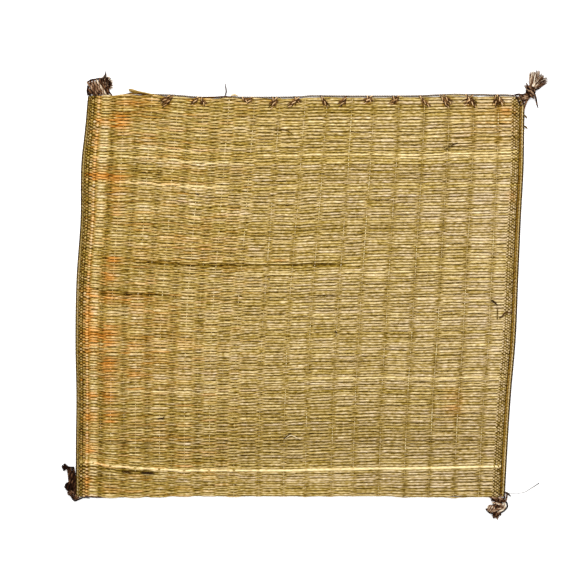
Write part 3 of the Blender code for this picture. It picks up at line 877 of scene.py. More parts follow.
# %% [markdown]
# ## A dark sheet inside the mat, painted shade
#
# Between the stems the eye meets the shaded inside of the mat, not the floor. A thin
# closed dark sheet in the middle of the weave gives that, with the outline of the solid;
# its dark colour is painted shade.
# The stems lie on both its faces.

# %% A closed sheet inside the weave
SHADE_SHEET_LOW, SHADE_SHEET_HIGH = 1.15, 1.45
SHADE_SHEET_COLUMNS, SHADE_SHEET_ROWS = 64, 64
SHADE_SHEET_LEFT, SHADE_SHEET_RIGHT, SHADE_SHEET_BOTTOM, SHADE_SHEET_TOP = 0.0025, 0.9975, 0.002, 0.998
NEAR_BOTTOM, BOTTOM_ROWS, NEAR_TOP, TOP_ROWS = 0.02, 6, 0.98, 8
# the sheet's dark colour is painted shade, seen between the stems
SHADE_SHEET_PALE, SHADE_SHEET_GREY = 0.12, 0.2

# closer rows near both ends follow the rounded corners
shade_sheet_rises = np.unique(np.concatenate([
    np.linspace(SHADE_SHEET_BOTTOM, NEAR_BOTTOM, BOTTOM_ROWS),
    np.linspace(NEAR_BOTTOM, NEAR_TOP, SHADE_SHEET_ROWS),
    np.linspace(NEAR_TOP, SHADE_SHEET_TOP, TOP_ROWS),
]))
points = []
for rise in shade_sheet_rises:
    left, right = edge_insets(rise)
    start, end = SHADE_SHEET_LEFT + left / MAT_ACROSS, SHADE_SHEET_RIGHT - right / MAT_ACROSS
    across = np.linspace(start, end, SHADE_SHEET_COLUMNS)
    x, y = mat_points(across, rise)
    points.append(np.stack([x, y, np.zeros_like(x)], 1))
points = np.array(points)
rows, columns = points.shape[:2]
flat = points.reshape(-1, 3)
both = np.concatenate([flat + (0, 0, SHADE_SHEET_LOW), flat + (0, 0, SHADE_SHEET_HIGH)]) * MM
shift = rows * columns
index = np.arange(shift).reshape(rows, columns)
faces = []
for j in range(rows - 1):
    for i in range(columns - 1):
        a, b, c, d = index[j, i], index[j, i + 1], index[j + 1, i + 1], index[j + 1, i]
        faces.append((d, c, b, a))
        faces.append((a + shift, b + shift, c + shift, d + shift))
rim = [*index[0, :-1], *index[:-1, -1], *index[-1, :0:-1], *index[:0:-1, 0]]
for a, b in zip(rim, rim[1:] + rim[:1]):
    faces.append((a, b, b + shift, a + shift))
tones = (("pale", SHADE_SHEET_PALE), ("grey", SHADE_SHEET_GREY), ("rust", 0.0))
values = {key: np.full(len(both), value) for key, value in tones}
shade_sheet = new_object("mat_shade_sheet", both, [[int(v) for v in f] for f in faces], values, grass)
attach(shade_sheet, "root")
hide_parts("mat")

# %% [markdown]
# ## Ropes
#
# The selvedge cords, the edge twine and the jute of the knots are all twisted from
# two or three plies. A twist could be painted on a tube, but real plies catch the
# light and give each rope its dotted outline, so each ply is its own tube.

# %% The path of a rope
def smooth_path(points, step):
    """Points (x, y, z, radius) on a smooth curve through the given ones."""
    points = np.asarray(points, float)
    if len(points) == 2:
        points = np.array([points[0], points.mean(0), points[1]])
    reach = np.concatenate([[0], np.cumsum(np.linalg.norm(np.diff(points[:, :3], axis=0), axis=1))])
    slopes = np.gradient(points, reach, axis=0)
    count = max(4, int(reach[-1] / step) + 1)
    at = np.linspace(0, reach[-1], count)
    k = np.clip(np.searchsorted(reach, at, side="right") - 1, 0, len(reach) - 2)
    span = (reach[k + 1] - reach[k])[:, None]
    t = ((at - reach[k])[:, None]) / span
    return ease(points[k], points[k + 1] - points[k], slopes[k] * span, slopes[k + 1] * span, t)


NEARLY_STANDING = 0.1


def frames_along(centres):
    """Two directions square to a path, turning as little as possible."""
    along = np.gradient(centres, axis=0)
    along /= np.linalg.norm(along, axis=1)[:, None] + TINY
    side = np.zeros_like(along)
    start = np.cross((0.0, 0.0, 1.0), along[0])
    if np.linalg.norm(start) < NEARLY_STANDING:
        start = np.array([1.0, 0.0, 0.0])
    side[0] = start / np.linalg.norm(start)
    for i in range(1, len(along)):
        moved = side[i - 1] - along[i] * np.dot(side[i - 1], along[i])
        side[i] = moved / np.linalg.norm(moved)
    return side, np.cross(along, side)


print("a bend 12 mm long gets", len(smooth_path([(0, 0, 0, 1), (6, 1, 0, 1), (12, 0, 0, 1)], 1.0)), "rings")

# %% A rope of twisted plies
ROPE_SIDES = 5
PLY_SPREAD = 0.08
TONE_SPREAD, TONE_KNOTS = 0.07, 12
PLY_ABOVE_FLOOR, THINNEST_PLY = 0.04, 0.25


def rope(bundle, points, plies, pitch, step, turn=0.0, ply_share=0.56, hand=1, tones=(0,), **values):
    """A rope whose plies twist round a smooth path; radius comes with the points."""
    path = smooth_path(points, step)
    centres, radius = path[:, :3], path[:, 3]
    side, over = frames_along(centres)
    reach = np.concatenate([[0], np.cumsum(np.linalg.norm(np.diff(centres, axis=0), axis=1))])
    for p in range(plies):
        angle = hand * 2 * np.pi * reach / pitch + turn + 2 * np.pi * p / plies
        out = (radius * (1 - ply_share))[:, None]
        ply = centres + side * out * np.cos(angle)[:, None] + over * out * np.sin(angle)[:, None]
        thick = radius * ply_share * (1 + PLY_SPREAD * rng.standard_normal())
        own = {}
        for key, value in values.items():
            knots = np.linspace(0, reach[-1], TONE_KNOTS)
            noise = TONE_SPREAD * np.interp(reach, knots, rng.standard_normal(TONE_KNOTS))
            own[key] = np.clip(value + (0 if key == "rust" else noise), 0, 1)
        own["pale"] = own["pale"] + tones[p % len(tones)]
        high = np.minimum(thick, ply[:, 2] - PLY_ABOVE_FLOOR)
        bundle.add(ply, thick, np.maximum(high, THINNEST_PLY * thick), ROPE_SIDES, **own)


print("each ply has", ROPE_SIDES, "sides")

# %% [markdown]
# ## The selvedges
#
# At both sides the stems end in close cords. Their plies are twisted by turns to the
# left and to the right, which gives the fine zig-zag. On the left the innermost cord
# is orange, and on the right a pale cord runs beside a dark dotted one.

# %% Selvedge cords: place from the edge, radius, height, paleness, greyness, rust, hand
# the outermost cord on each side is near black: partly its own dark colour, partly painted shadow along the
# mat's edge
LEFT_SELVEDGE_ROPES = (
    (1.0, 1.0, 1.5, 0.05, 0.9, 0.0, 1),
    (3.1, 1.5, 2.0, 0.38, 0.9, 0.0, -1),
)
RIGHT_SELVEDGE_ROPES = (
    (1.0, 1.2, 1.6, -0.02, 0.5, 0.0, 1),
    (3.2, 1.2, 2.1, 0.50, 0.4, 0.04, -1),
    (5.6, 1.25, 1.9, 0.24, 0.2, 0.22, 1),
)
SELVEDGE_PITCH, SELVEDGE_STEP, SELVEDGE_PLY = 5.0, 0.7, 0.62
SELVEDGE_PLY_TONES = (0.06, -0.06)
FIRST_RISE, LAST_RISE, RISE_COUNT = 0.003, 0.997, 60


def selvedge(name, ropes, from_left):
    bundle = Bundle()
    rope_rises = np.linspace(FIRST_RISE, LAST_RISE, RISE_COUNT)
    insets = edge_insets(rope_rises)[0 if from_left else 1]
    for number, (inwards, radius, high, pale, grey, rust, hand) in enumerate(ropes):
        offset = (inwards + insets * (1 - inwards / FADE_IN)) / MAT_ACROSS
        x, y = mat_points(offset if from_left else 1 - offset, rope_rises)
        points = np.stack([x, y, np.full_like(x, high), np.full_like(x, radius)], 1)
        rope(
            bundle, points, plies=2, pitch=SELVEDGE_PITCH, step=SELVEDGE_STEP, turn=number,
            ply_share=SELVEDGE_PLY, hand=hand, tones=SELVEDGE_PLY_TONES, pale=pale, grey=grey, rust=rust,
        )
    made = bundle.build(name, grass)
    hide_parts("mat")
    return made


selvedges = [
    selvedge("left_selvedge", LEFT_SELVEDGE_ROPES, True),
    selvedge("right_selvedge", RIGHT_SELVEDGE_ROPES, False),
]

# %% [markdown]
# ## Twine and jute
#
# The twine of the top edge is whitish with brown specks, and the knots are brown
# jute whose loose ends open into pale fibres. Both finishes are fibrous: a stretched
# noise gives hairs in colour and relief, and the mesh's paleness does the rest.

# %% Twine and jute materials
SPECK_SCALE, SPECK_PART, HAIR_PART = 900.0, 0.3, 0.45


def fibre_finish(name, stops, roughness, stretch):
    recipe = Recipe(name, roughness, specular=0.05)
    hairs = recipe.noise(1.0, stretch, 4.0)
    specks = recipe.noise(SPECK_SCALE, (1, 1, 1), 2.0)
    pale = recipe.sum(recipe.value("pale"), hairs, HAIR_PART)
    pale = recipe.sum(pale, specks, SPECK_PART)
    return recipe.finish(recipe.ramp(pale, stops), hairs, distance=0.0003, strength=0.6)


TWINE_STOPS = (
    (0.0, (0.030, 0.016, 0.008)),
    (0.3, (0.15, 0.10, 0.06)),
    (0.55, (0.40, 0.34, 0.27)),
    (0.9, (0.74, 0.72, 0.68)),
)
STITCH_STOPS = (
    (0.0, (0.010, 0.003, 0.001)),
    (0.3, (0.08, 0.030, 0.007)),
    (0.6, (0.34, 0.18, 0.062)),
    (0.95, (0.74, 0.50, 0.26)),
)
JUTE_STOPS = (
    (0.0, (0.003, 0.001, 0.0006)),
    (0.35, (0.030, 0.010, 0.0035)),
    (0.6, (0.16, 0.075, 0.034)),
    (0.85, (0.44, 0.30, 0.19)),
    (1.0, (0.84, 0.74, 0.58)),
)
twine = fibre_finish("edge_twine_finish", TWINE_STOPS, 0.8, (500, 900, 900))
stitch = fibre_finish("stitch_finish", STITCH_STOPS, 0.8, (700, 700, 700))
jute = fibre_finish("jute_finish", JUTE_STOPS, 0.85, (700, 700, 700))
print("finishes:", [finish.name for finish in (twine, stitch, jute)])

# %% [markdown]
# ## The top edge twine
#
# One twine lies just outside the last stem. At twelve places it is caught by short
# legs that slant down over the edge and go in between the stems. The twine and its
# legs could be one long rope, but a leg is thicker and browner than the twine, so
# each is a short rope of its own that starts inside it.

# %% Twine and its stitches (mm)
TWINE_RADIUS, TWINE_GAP, TWINE_HIGH = 1.0, 0.4, 2.1
TWINE_PITCH, TWINE_STEP, TWINE_PALE, TWINE_PLY_TONES = 3.4, 0.6, 0.34, (0.20, -0.22)
CREASE_SHADOW_RADIUS, CREASE_SHADOW_PALE, CREASE_SHADOW_BELOW = 0.5, 0.02, 0.5
TWINE_POINTS = 110
TWINE_BOW = np.array([
    (-222, 0.0), (-196, 0.4), (-147, 0.0), (-100, 0.1), (-40, 0.1), (8, 0.8),
    (62, 0.3), (90, 0.3), (160, 0.6), (190, 1.2), (212, 1.7), (234, 0.9),
    (253, 1.0), (266, 0.4), (283, 0.6), (293, 0.0),
])


def top_edge(x):
    return np.interp(x, TOP_EDGE[:, 0], TOP_EDGE[:, 1])


def twine_line(x):
    return top_edge(x) + TWINE_GAP + TWINE_RADIUS + smooth_column(TWINE_BOW, 1, np.asarray(x, float))


edging = Bundle()
x = np.linspace(TWINE_BOW[0, 0], TWINE_BOW[-1, 0], TWINE_POINTS)
path = np.stack([x, twine_line(x), np.full_like(x, TWINE_HIGH), np.full_like(x, TWINE_RADIUS)], 1)
rope(edging, path, plies=2, pitch=TWINE_PITCH, step=TWINE_STEP, tones=TWINE_PLY_TONES, pale=TWINE_PALE)
# a near-black thread in the crease between the twine and the last stem is painted shadow there
painted_crease_shade = path[:, :3] - (0.0, TWINE_RADIUS + CREASE_SHADOW_RADIUS / 2, CREASE_SHADOW_BELOW)
edging.add(painted_crease_shade, CREASE_SHADOW_RADIUS, CREASE_SHADOW_RADIUS, 4, pale=CREASE_SHADOW_PALE)
edging = edging.build("edge_twine_rope", twine)
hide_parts("edge_twine")

# %% The stitches, each with a small fan of the fibre that it gathers (mm)
LEG_RADIUS, LEG_HIGH, LEG_PITCH, LEG_STEP = 1.3, 4.2, 8.0, 0.5
LEG_PALE, LEG_SPREAD, LEG_PLY_TONES = 0.46, 0.06, (0.34, -0.30)
FAN_STRANDS, FAN_WIDE, FAN_RADIUS = 9, 11.0, 0.85
FAN_SHORT, FAN_LONG, FAN_DARK, FAN_PALE = 0.45, 0.95, 0.10, 0.50
FAN_THIN = FAN_RADIUS * np.array([1.0, 0.9, 0.4])


def leg_path(leaves, enters, edge, depth):
    """A leg over the edge: it leaves the twine, lies on the stems and goes in."""
    lean = enters - leaves
    return (
        (leaves, float(twine_line(leaves)), TWINE_HIGH + 0.3, LEG_RADIUS),
        (leaves + 0.08 * lean, edge + 0.4, LEG_HIGH - 0.3, LEG_RADIUS),
        (leaves + 0.45 * lean, edge - 0.45 * depth, LEG_HIGH, LEG_RADIUS),
        (leaves + 0.85 * lean, edge - 0.88 * depth, LEG_HIGH - 0.5, 0.85 * LEG_RADIUS),
        (enters, edge - depth, 2.2, 0.55 * LEG_RADIUS),
    )


legs = Bundle()
for leaves, enters, depth in STITCH_LEGS:
    edge = float(top_edge(leaves))
    lean = enters - leaves
    pale = LEG_PALE + LEG_SPREAD * rng.standard_normal()
    rope(
        legs, leg_path(leaves, enters, edge, depth), plies=2, pitch=LEG_PITCH, step=LEG_STEP,
        turn=leaves, tones=LEG_PLY_TONES, pale=pale,
    )
    for i in range(FAN_STRANDS):
        reach = depth * rng.uniform(FAN_SHORT, FAN_LONG)
        place = FAN_WIDE * (i / (FAN_STRANDS - 1) - 0.5)
        foot = leaves + 0.75 * lean + place + rng.normal(0, 0.5)
        fan = np.array([
            (leaves + 0.15 * lean, edge - 0.1, 3.6),
            (0.5 * (leaves + foot) + 0.1 * lean, edge - 0.55 * reach, 4.0),
            (foot, edge - reach, 3.3),
        ])
        legs.add(fan, FAN_THIN, FAN_THIN, 4, pale=rng.uniform(FAN_DARK, FAN_PALE))
stitches = legs.build("edge_stitches", stitch)
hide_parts("edge_twine")

# %% [markdown]
# ## The corner knots
#
# Each corner ends in jute: strands that come out of the selvedge, a knot, and loose
# ends. They follow the main strands of the solids, but each strand is twisted from
# three plies and the brushes are single tapering fibres, so the dark hollows between
# plies are real.

# %% A strand wound into a ball
BALL_PITCH, BALL_STEP, BALL_PLY, BALL_PLY_TONES = 5.5, 0.8, 0.6, (0.15, -0.15)
POINTS_A_TURN, BALL_REACH, BALL_OVER_FLOOR = 26, 0.85, 0.1


def wound_ball(bundle, centre, radii, turns, radius, pale, lean=0.0):
    """A strand wound round a rounded heart, level turns leaning by an angle."""
    angle = np.linspace(0, 2 * np.pi * turns, int(POINTS_A_TURN * turns))
    across = np.linspace(-BALL_REACH, BALL_REACH, len(angle))
    ring = np.sqrt(1 - across**2)
    long, wide, high = radii[0] * across, radii[1] * ring * np.cos(angle), radii[2] * ring * np.sin(angle)
    c, s = math.cos(lean), math.sin(lean)
    x = centre[0] + long * c - wide * s
    y = centre[1] + long * s + wide * c
    z = np.maximum(centre[2] + high, radius + BALL_OVER_FLOOR)
    rope(
        bundle, np.stack([x, y, z, np.full_like(x, radius)], 1), plies=2, pitch=BALL_PITCH,
        step=BALL_STEP, ply_share=BALL_PLY, tones=BALL_PLY_TONES, pale=pale, grey=0.0, rust=0.0,
    )


print("a ball has", POINTS_A_TURN, "points a turn")

# %% A brush of loose fibres
FIBRE_POINTS, OVER_FLOOR = 9, 0.05
SHORTEST, LONGEST, ROOT_SPREAD, SWAY, TIP_SWAY = 0.78, 1.02, 1.1, 1.1, 0.8
LIFT_LEAST, TIP_LOW, TIP_RISE = 0.4, 0.3, 2.0
THIN_LEAST, THIN_MOST, TIP_THINNER, FIBRE_FLAT = 0.6, 1.3, 0.7, 0.8
FIBRE_TONES, TIP_PALER = 0.24, 0.12


def fan_value(share, values):
    """A value read along a fan, at a share of its opening."""
    return np.interp(share, np.linspace(0, 1, len(values)), values)


def brush(bundle, root, angles, lengths, count, radius, pale, spread=3.0, high=6.0):
    """Loose fibres fanning out from a knot and resting on the floor at their tips."""
    t = np.linspace(0, 1, FIBRE_POINTS)
    # a fibre rises over its first third and sinks from there
    arch = np.sin(np.pi * np.minimum(t * 1.4, 0.5))
    for _ in range(count):
        share = rng.random()
        angle = math.radians(fan_value(share, angles) + rng.normal(0, spread))
        length = fan_value(share, lengths) * rng.uniform(SHORTEST, LONGEST)
        lift = rng.uniform(LIFT_LEAST, 1.0) * high
        sway = rng.normal(0, SWAY) * np.sin(np.pi * t) + rng.normal(0, TIP_SWAY) * t**2
        x = root[0] + rng.normal(0, ROOT_SPREAD) + length * t * math.cos(angle) - sway * math.sin(angle)
        y = root[1] + rng.normal(0, ROOT_SPREAD) + length * t * math.sin(angle) + sway * math.cos(angle)
        tip = TIP_LOW + TIP_RISE * rng.random() ** 2
        z = root[2] + (lift - root[2]) * arch * (1 - t) + (tip - root[2]) * t**1.5
        thick = radius * rng.uniform(THIN_LEAST, THIN_MOST) * (1 - TIP_THINNER * t**2)
        tone = pale + FIBRE_TONES * rng.standard_normal() + TIP_PALER * (t - 0.4)
        points = np.stack([x, y, np.maximum(z, thick + OVER_FLOOR)], 1)
        bundle.add(points, thick, thick * FIBRE_FLAT, 4, pale=np.clip(tone, 0, 1), grey=0.0, rust=0.0)


print("each loose fibre has", FIBRE_POINTS, "rings")

# %% One knot from strands, balls and brushes
STRAND_PITCH, STRAND_STEP, STRAND_PLY, STRAND_PLY_TONES = 9.0, 0.7, 0.5, (0.12, -0.16, 0.0)
STRAND_TURN = 6


def build_knot(name, node, strands, balls=(), brushes=()):
    """Each strand is its paleness, then its points: across, height, level, radius."""
    bundle = Bundle()
    for pale, *points in strands:
        rope(
            bundle, points, plies=3, pitch=STRAND_PITCH, step=STRAND_STEP, turn=rng.uniform(0, STRAND_TURN),
            ply_share=STRAND_PLY, tones=STRAND_PLY_TONES, pale=pale, grey=0.0, rust=0.0,
        )
    # a ball is its centre, its half sizes, turns, radius, paleness and lean
    for ball in balls:
        wound_ball(bundle, *ball)
    for settings in brushes:
        brush(bundle, **settings)
    made = bundle.build(name, jute)
    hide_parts(node)
    return made


# %% [markdown]
# ## The top left knot
#
# Pale strands slant down across dark jute and end in a short round brush. The dark
# jute could be one lump, but wound strands show the same hollows from every side, so
# three wound balls lie under the slanting strands.

# %% Top left: slanting strands and a short round brush
build_knot("top_left_knot", node="knot_top_left", strands=(
    (0.12, (-302.6, 280.6, 2.2, 1.6), (-301.8, 285.0, 2.3, 1.9), (-301.0, 290.0, 2.3, 1.6)),
    (0.2, (-304.9, 281.6, 2.5, 1.4), (-305.4, 287.0, 2.9, 2.0), (-304.6, 294.5, 3.0, 1.8)),
    (0.22, (-306.4, 299.6, 3.0, 1.3), (-300.6, 302.6, 3.4, 1.6), (-293.6, 303.8, 3.6, 1.6),
     (-287.0, 305.4, 3.4, 1.2)),
    (0.15, (-305.0, 296.6, 2.6, 1.6), (-297.0, 298.6, 2.8, 2.0), (-289.6, 299.6, 3.0, 2.0)),
    (0.5, (-306.0, 291.0, 3.0, 1.6), (-301.5, 286.5, 3.4, 1.7), (-297.0, 282.0, 2.8, 1.2)),
    (0.62, (-306.3, 300.4, 2.8, 1.4), (-300.4, 292.5, 4.2, 2.0), (-294.0, 284.6, 3.8, 1.8),
     (-291.0, 281.8, 2.8, 1.2)),
    (0.55, (-302.6, 302.0, 3.0, 1.4), (-296.2, 293.6, 4.8, 2.0), (-289.6, 285.6, 4.2, 1.8),
     (-286.4, 282.0, 2.8, 1.2)),
    (0.66, (-298.4, 302.8, 3.0, 1.4), (-291.6, 293.8, 5.2, 1.9), (-285.6, 286.0, 4.4, 1.8),
     (-282.6, 282.0, 2.8, 1.2)),
    (0.84, (-293.6, 303.6, 3.6, 1.3), (-288.6, 296.0, 6.2, 1.7), (-283.4, 288.4, 5.4, 1.7),
     (-279.2, 282.6, 3.0, 1.2)),
    (0.36, (-286.0, 292.0, 3.0, 1.8), (-281.0, 287.0, 3.2, 1.8), (-276.4, 282.4, 2.6, 1.4)),
    (0.22, (-281.0, 291.0, 2.6, 1.6), (-277.0, 287.0, 2.8, 1.6), (-273.6, 283.6, 2.4, 1.2)),
    (0.42, (-289.6, 304.6, 4.0, 1.6), (-283.6, 295.6, 5.6, 1.9), (-277.6, 288.0, 4.2, 1.7),
     (-271.4, 281.8, 2.4, 1.0)),
    (0.15, (-281.6, 302.0, 4.4, 1.8), (-280.6, 309.5, 3.6, 1.3), (-279.8, 316.2, 2.6, 0.6)),
), balls=(
    ((-292.5, 291.0, 2.4), (11.0, 8.6, 1.6), 8.0, 1.4, 0.22, 0.9),
    ((-282.0, 288.6, 2.2), (7.5, 5.4, 1.2), 6.0, 1.4, 0.25, 0.3),
    ((-280.6, 298.4, 3.4), (8.6, 8.2, 2.6), 7.0, 1.3, 0.22, 0.7),
), brushes=(
    dict(root=(-282.0, 296.0, 4.6), angles=(122, 98, 70, 40, 10, -30),
         lengths=(11.5, 13.5, 13.5, 13, 11.5, 11),
         count=190, radius=0.6, pale=0.56, spread=6.0, high=8.0),
))

# %% [markdown]
# ## The top right knot
#
# Stems gather from the edge into a neck, pass a dark round knot and open into the
# longest brush. The brush could be a cone with a hairy finish. Single fibres cost
# more faces, but their tips stay apart against the white floor.

# %% Top right: a neck of gathered strands, a dark knot, a long brush and one hanging strand
build_knot("top_right_knot", node="knot_top_right", strands=(
    (0.35, (292.0, 280.8, 2.8, 0.9), (300.5, 282.4, 3.4, 1.5), (309.0, 281.8, 4.0, 1.9),
     (316.0, 284.6, 4.4, 2.2)),
    (0.56, (297.0, 278.0, 3.0, 0.9), (304.5, 279.0, 3.8, 1.6), (311.5, 280.2, 4.4, 2.0),
     (317.0, 284.0, 4.6, 2.2)),
    (0.62, (300.4, 272.6, 3.2, 0.9), (305.5, 275.6, 4.0, 1.6), (311.0, 278.6, 4.6, 2.1),
     (317.0, 283.0, 4.6, 2.2)),
    (0.48, (304.6, 266.4, 3.2, 0.9), (307.4, 271.6, 3.8, 1.6), (311.6, 276.6, 4.2, 2.0),
     (318.0, 282.0, 4.2, 2.1)),
    (0.55, (309.4, 259.0, 2.8, 0.8), (310.6, 267.0, 3.2, 1.5), (313.2, 274.0, 3.6, 1.9),
     (319.0, 281.0, 3.8, 1.9)),
    (0.05, (297.2, 281.6, 4.2, 0.7), (301.2, 274.0, 4.6, 0.8), (304.0, 267.0, 4.0, 0.6)),
    (0.08, (302.6, 281.4, 4.6, 0.6), (305.6, 275.2, 5.2, 0.7), (307.8, 268.6, 4.4, 0.5)),
    (0.12, (323.0, 288.6, 3.0, 1.6), (329.3, 290.4, 1.8, 1.1), (334.6, 294.0, 1.0, 0.5)),
    (0.28, (323.8, 284.0, 3.0, 1.5), (326.2, 277.0, 2.2, 1.5), (327.4, 270.5, 1.8, 1.3),
     (329.6, 263.6, 1.0, 0.7)),
    (0.5, (313.4, 294.4, 3.6, 1.4), (318.6, 291.0, 7.2, 1.8), (324.6, 286.4, 4.6, 1.5)),
    (0.66, (312.6, 289.6, 3.6, 1.4), (318.0, 286.0, 7.6, 1.8), (323.8, 280.8, 4.4, 1.5)),
    (0.45, (313.4, 284.2, 3.8, 1.4), (318.6, 280.8, 6.6, 1.7), (323.0, 276.8, 3.8, 1.3)),
), balls=(
    ((318.4, 286.2, 4.0), (9.4, 6.2, 3.0), 7.0, 1.3, 0.14, 1.45),
), brushes=(
    dict(root=(319.6, 292.0, 4.2), angles=(92, 84, 76), lengths=(22, 25, 24),
         count=40, radius=0.6, pale=0.58, spread=3.0, high=7.5),
    dict(root=(321.0, 291.0, 3.6), angles=(80, 68, 56, 43, 30, 18), lengths=(27, 28, 27, 26, 27, 21),
         count=130, radius=0.55, pale=0.50, spread=3.0, high=7.0),
    dict(root=(320.4, 291.0, 5.2), angles=(84, 66, 48), lengths=(24, 24, 18),
         count=34, radius=0.6, pale=0.98, spread=5.0, high=8.0),
    dict(root=(317.0, 290.0, 4.0), angles=(108, 128, 150), lengths=(12, 10, 7),
         count=16, radius=0.6, pale=0.30, spread=6.0, high=5.0),
))

# %% [markdown]
# ## The bottom left knot
#
# This knot lies flat along the side: a forked end above, dark strands down the edge
# and a loop round the corner. It has no brush, so strands and small balls are enough.

# %% Bottom left: dark lumps along the edge, a forked arm and a loop under the corner
build_knot("bottom_left_knot", node="knot_bottom_left", strands=(
    (0.08, (-338.6, -237.9, 1.9, 1.6), (-335.8, -241.6, 2.3, 2.2), (-330.4, -243.4, 2.4, 1.8),
     (-324.6, -242.8, 2.8, 1.4)),
    (0.05, (-342.0, -242.0, 1.6, 1.5), (-337.0, -243.2, 2.3, 2.0), (-332.4, -245.8, 2.4, 1.8)),
    (0.05, (-339.8, -247.6, 1.6, 1.5), (-336.4, -244.4, 2.2, 1.9), (-333.0, -243.0, 2.4, 1.7)),
    (0.42, (-333.6, -244.6, 2.4, 1.6), (-332.6, -252.8, 2.2, 1.7), (-331.4, -260.4, 2.4, 2.0),
     (-330.6, -266.0, 2.8, 2.2)),
    (0.18, (-331.4, -245.0, 1.9, 1.7), (-330.2, -254.0, 1.9, 1.8), (-329.4, -264.0, 1.9, 1.8)),
    (0.12, (-326.6, -245.0, 1.9, 1.7), (-326.0, -254.0, 1.9, 1.8), (-325.8, -270.0, 1.9, 1.8)),
    (0.1, (-323.8, -250.6, 1.7, 1.1), (-323.2, -262.0, 1.7, 1.2), (-323.0, -272.0, 1.7, 1.2)),
    (0.16, (-326.4, -268.0, 1.9, 1.7), (-326.3, -273.0, 1.9, 1.8), (-326.0, -278.6, 1.9, 1.7)),
    (0.30, (-330.2, -243.8, 2.8, 1.6), (-328.6, -252.0, 2.9, 1.9), (-327.6, -260.0, 3.0, 2.0),
     (-327.0, -268.0, 3.2, 2.0)),
    (0.26, (-325.6, -243.4, 2.8, 1.6), (-324.2, -254.0, 3.2, 2.0), (-323.8, -266.0, 3.4, 2.1),
     (-323.8, -281.0, 3.0, 2.0)),
    (0.12, (-329.4, -277.0, 2.6, 1.8), (-327.6, -284.6, 2.4, 1.8), (-323.6, -289.6, 2.2, 1.5),
     (-318.4, -288.0, 2.2, 1.3), (-311.4, -285.6, 2.2, 1.0), (-303.0, -286.4, 1.8, 0.7)),
    (0.5, (-325.0, -277.0, 3.4, 1.6), (-323.2, -283.0, 3.6, 1.8), (-318.0, -286.2, 3.6, 1.5)),
    (0.3, (-328.0, -281.0, 2.8, 1.7), (-324.6, -286.0, 3.0, 1.7), (-320.0, -287.0, 2.8, 1.5)),
), balls=(
    ((-331.6, -269.6, 2.7), (6.6, 5.6, 1.8), 5.0, 1.3, 0.04, 0.5),
    ((-330.0, -278.4, 2.4), (4.6, 3.8, 1.5), 4.0, 1.1, 0.40, 0.9),
    ((-339.0, -242.4, 1.8), (3.4, 3.4, 0.8), 3.0, 0.9, 0.03, 0.4),
))

# %% [markdown]
# ## The bottom right knot
#
# A collar of light and dark turns holds two loops, one tan and one pale, and frayed
# ends hang below. The turns of the collar could be stripes of colour on one tube, but
# each is a strand of its own, so that the stripes have depth.

# %% Bottom right: a striped collar, a tan lobe, a pale loop and frayed ends
build_knot("bottom_right_knot", node="knot_bottom_right", strands=(
    (0.58, (261.0, -285.2, 3.0, 1.2), (271.0, -286.4, 3.9, 1.7), (282.0, -287.4, 3.6, 1.5)),
    (0.55, (285.4, -279.0, 2.6, 1.0), (284.6, -286.0, 3.2, 1.5), (282.2, -292.0, 3.6, 1.4)),
    (0.34, (281.8, -280.0, 3.2, 0.8), (281.2, -286.0, 4.0, 1.4), (279.0, -292.0, 4.2, 1.3)),
    (0.66, (276.6, -281.0, 3.4, 0.7), (276.0, -286.0, 4.2, 1.3), (275.0, -291.0, 4.4, 1.3)),
    (0.28, (263.0, -288.8, 3.0, 1.4), (271.0, -289.8, 4.2, 1.6), (281.4, -291.4, 3.6, 1.4)),
    (0.3, (263.6, -287.0, 2.2, 1.5), (272.0, -288.0, 2.4, 1.8), (281.0, -289.0, 2.4, 1.6)),
    (0.84, (264.4, -292.2, 3.0, 1.3), (271.0, -293.6, 4.6, 1.6), (280.4, -295.8, 4.0, 1.4)),
    (0.36, (266.0, -295.0, 3.2, 1.2), (272.0, -296.4, 4.8, 1.5), (280.0, -299.6, 4.0, 1.3)),
    (0.10, (281.0, -288.8, 3.4, 1.2), (285.4, -293.8, 2.8, 1.3), (285.8, -298.4, 2.6, 1.3),
     (281.6, -303.4, 2.8, 1.3), (276.0, -307.4, 2.8, 1.2)),
    (0.96, (280.4, -292.4, 3.8, 1.3), (283.0, -297.2, 3.4, 1.5), (279.4, -302.0, 3.6, 1.5),
     (272.0, -306.4, 3.4, 1.3)),
    (0.7, (278.0, -295.2, 4.4, 1.2), (279.8, -298.4, 4.2, 1.3), (276.0, -301.8, 4.0, 1.3)),
    (0.12, (255.4, -301.4, 2.4, 1.3), (261.0, -306.6, 2.8, 1.4), (267.6, -308.6, 3.0, 1.4),
     (274.0, -310.0, 2.6, 1.1)),
    (0.72, (262.0, -305.6, 3.0, 1.4), (269.0, -303.0, 4.6, 1.6), (276.6, -299.8, 4.8, 1.4)),
    (0.3, (265.4, -307.6, 2.8, 1.4), (266.4, -311.6, 2.2, 1.2), (266.2, -314.8, 1.6, 0.7)),
    (0.45, (270.4, -306.6, 2.8, 1.4), (271.8, -311.6, 2.2, 1.2), (272.2, -317.0, 1.4, 0.6)),
    (0.3, (274.4, -304.4, 2.8, 1.3), (276.2, -308.2, 2.2, 1.1), (276.8, -311.2, 1.6, 0.7)),
), balls=(
    ((263.2, -301.0, 2.7), (6.6, 4.6, 1.7), 6.0, 1.3, 0.66, -0.15),
    ((273.0, -297.0, 2.6), (8.4, 6.0, 1.6), 7.0, 1.3, 0.30, -0.3),
    ((270.4, -308.0, 2.2), (5.0, 4.0, 1.3), 5.0, 1.1, 0.40, 0.2),
), brushes=(
    dict(root=(270.5, -306.0, 3.0), angles=(-128, -98, -62), lengths=(9, 11, 8),
         count=40, radius=0.5, pale=0.5, spread=7.0, high=4.0),
))

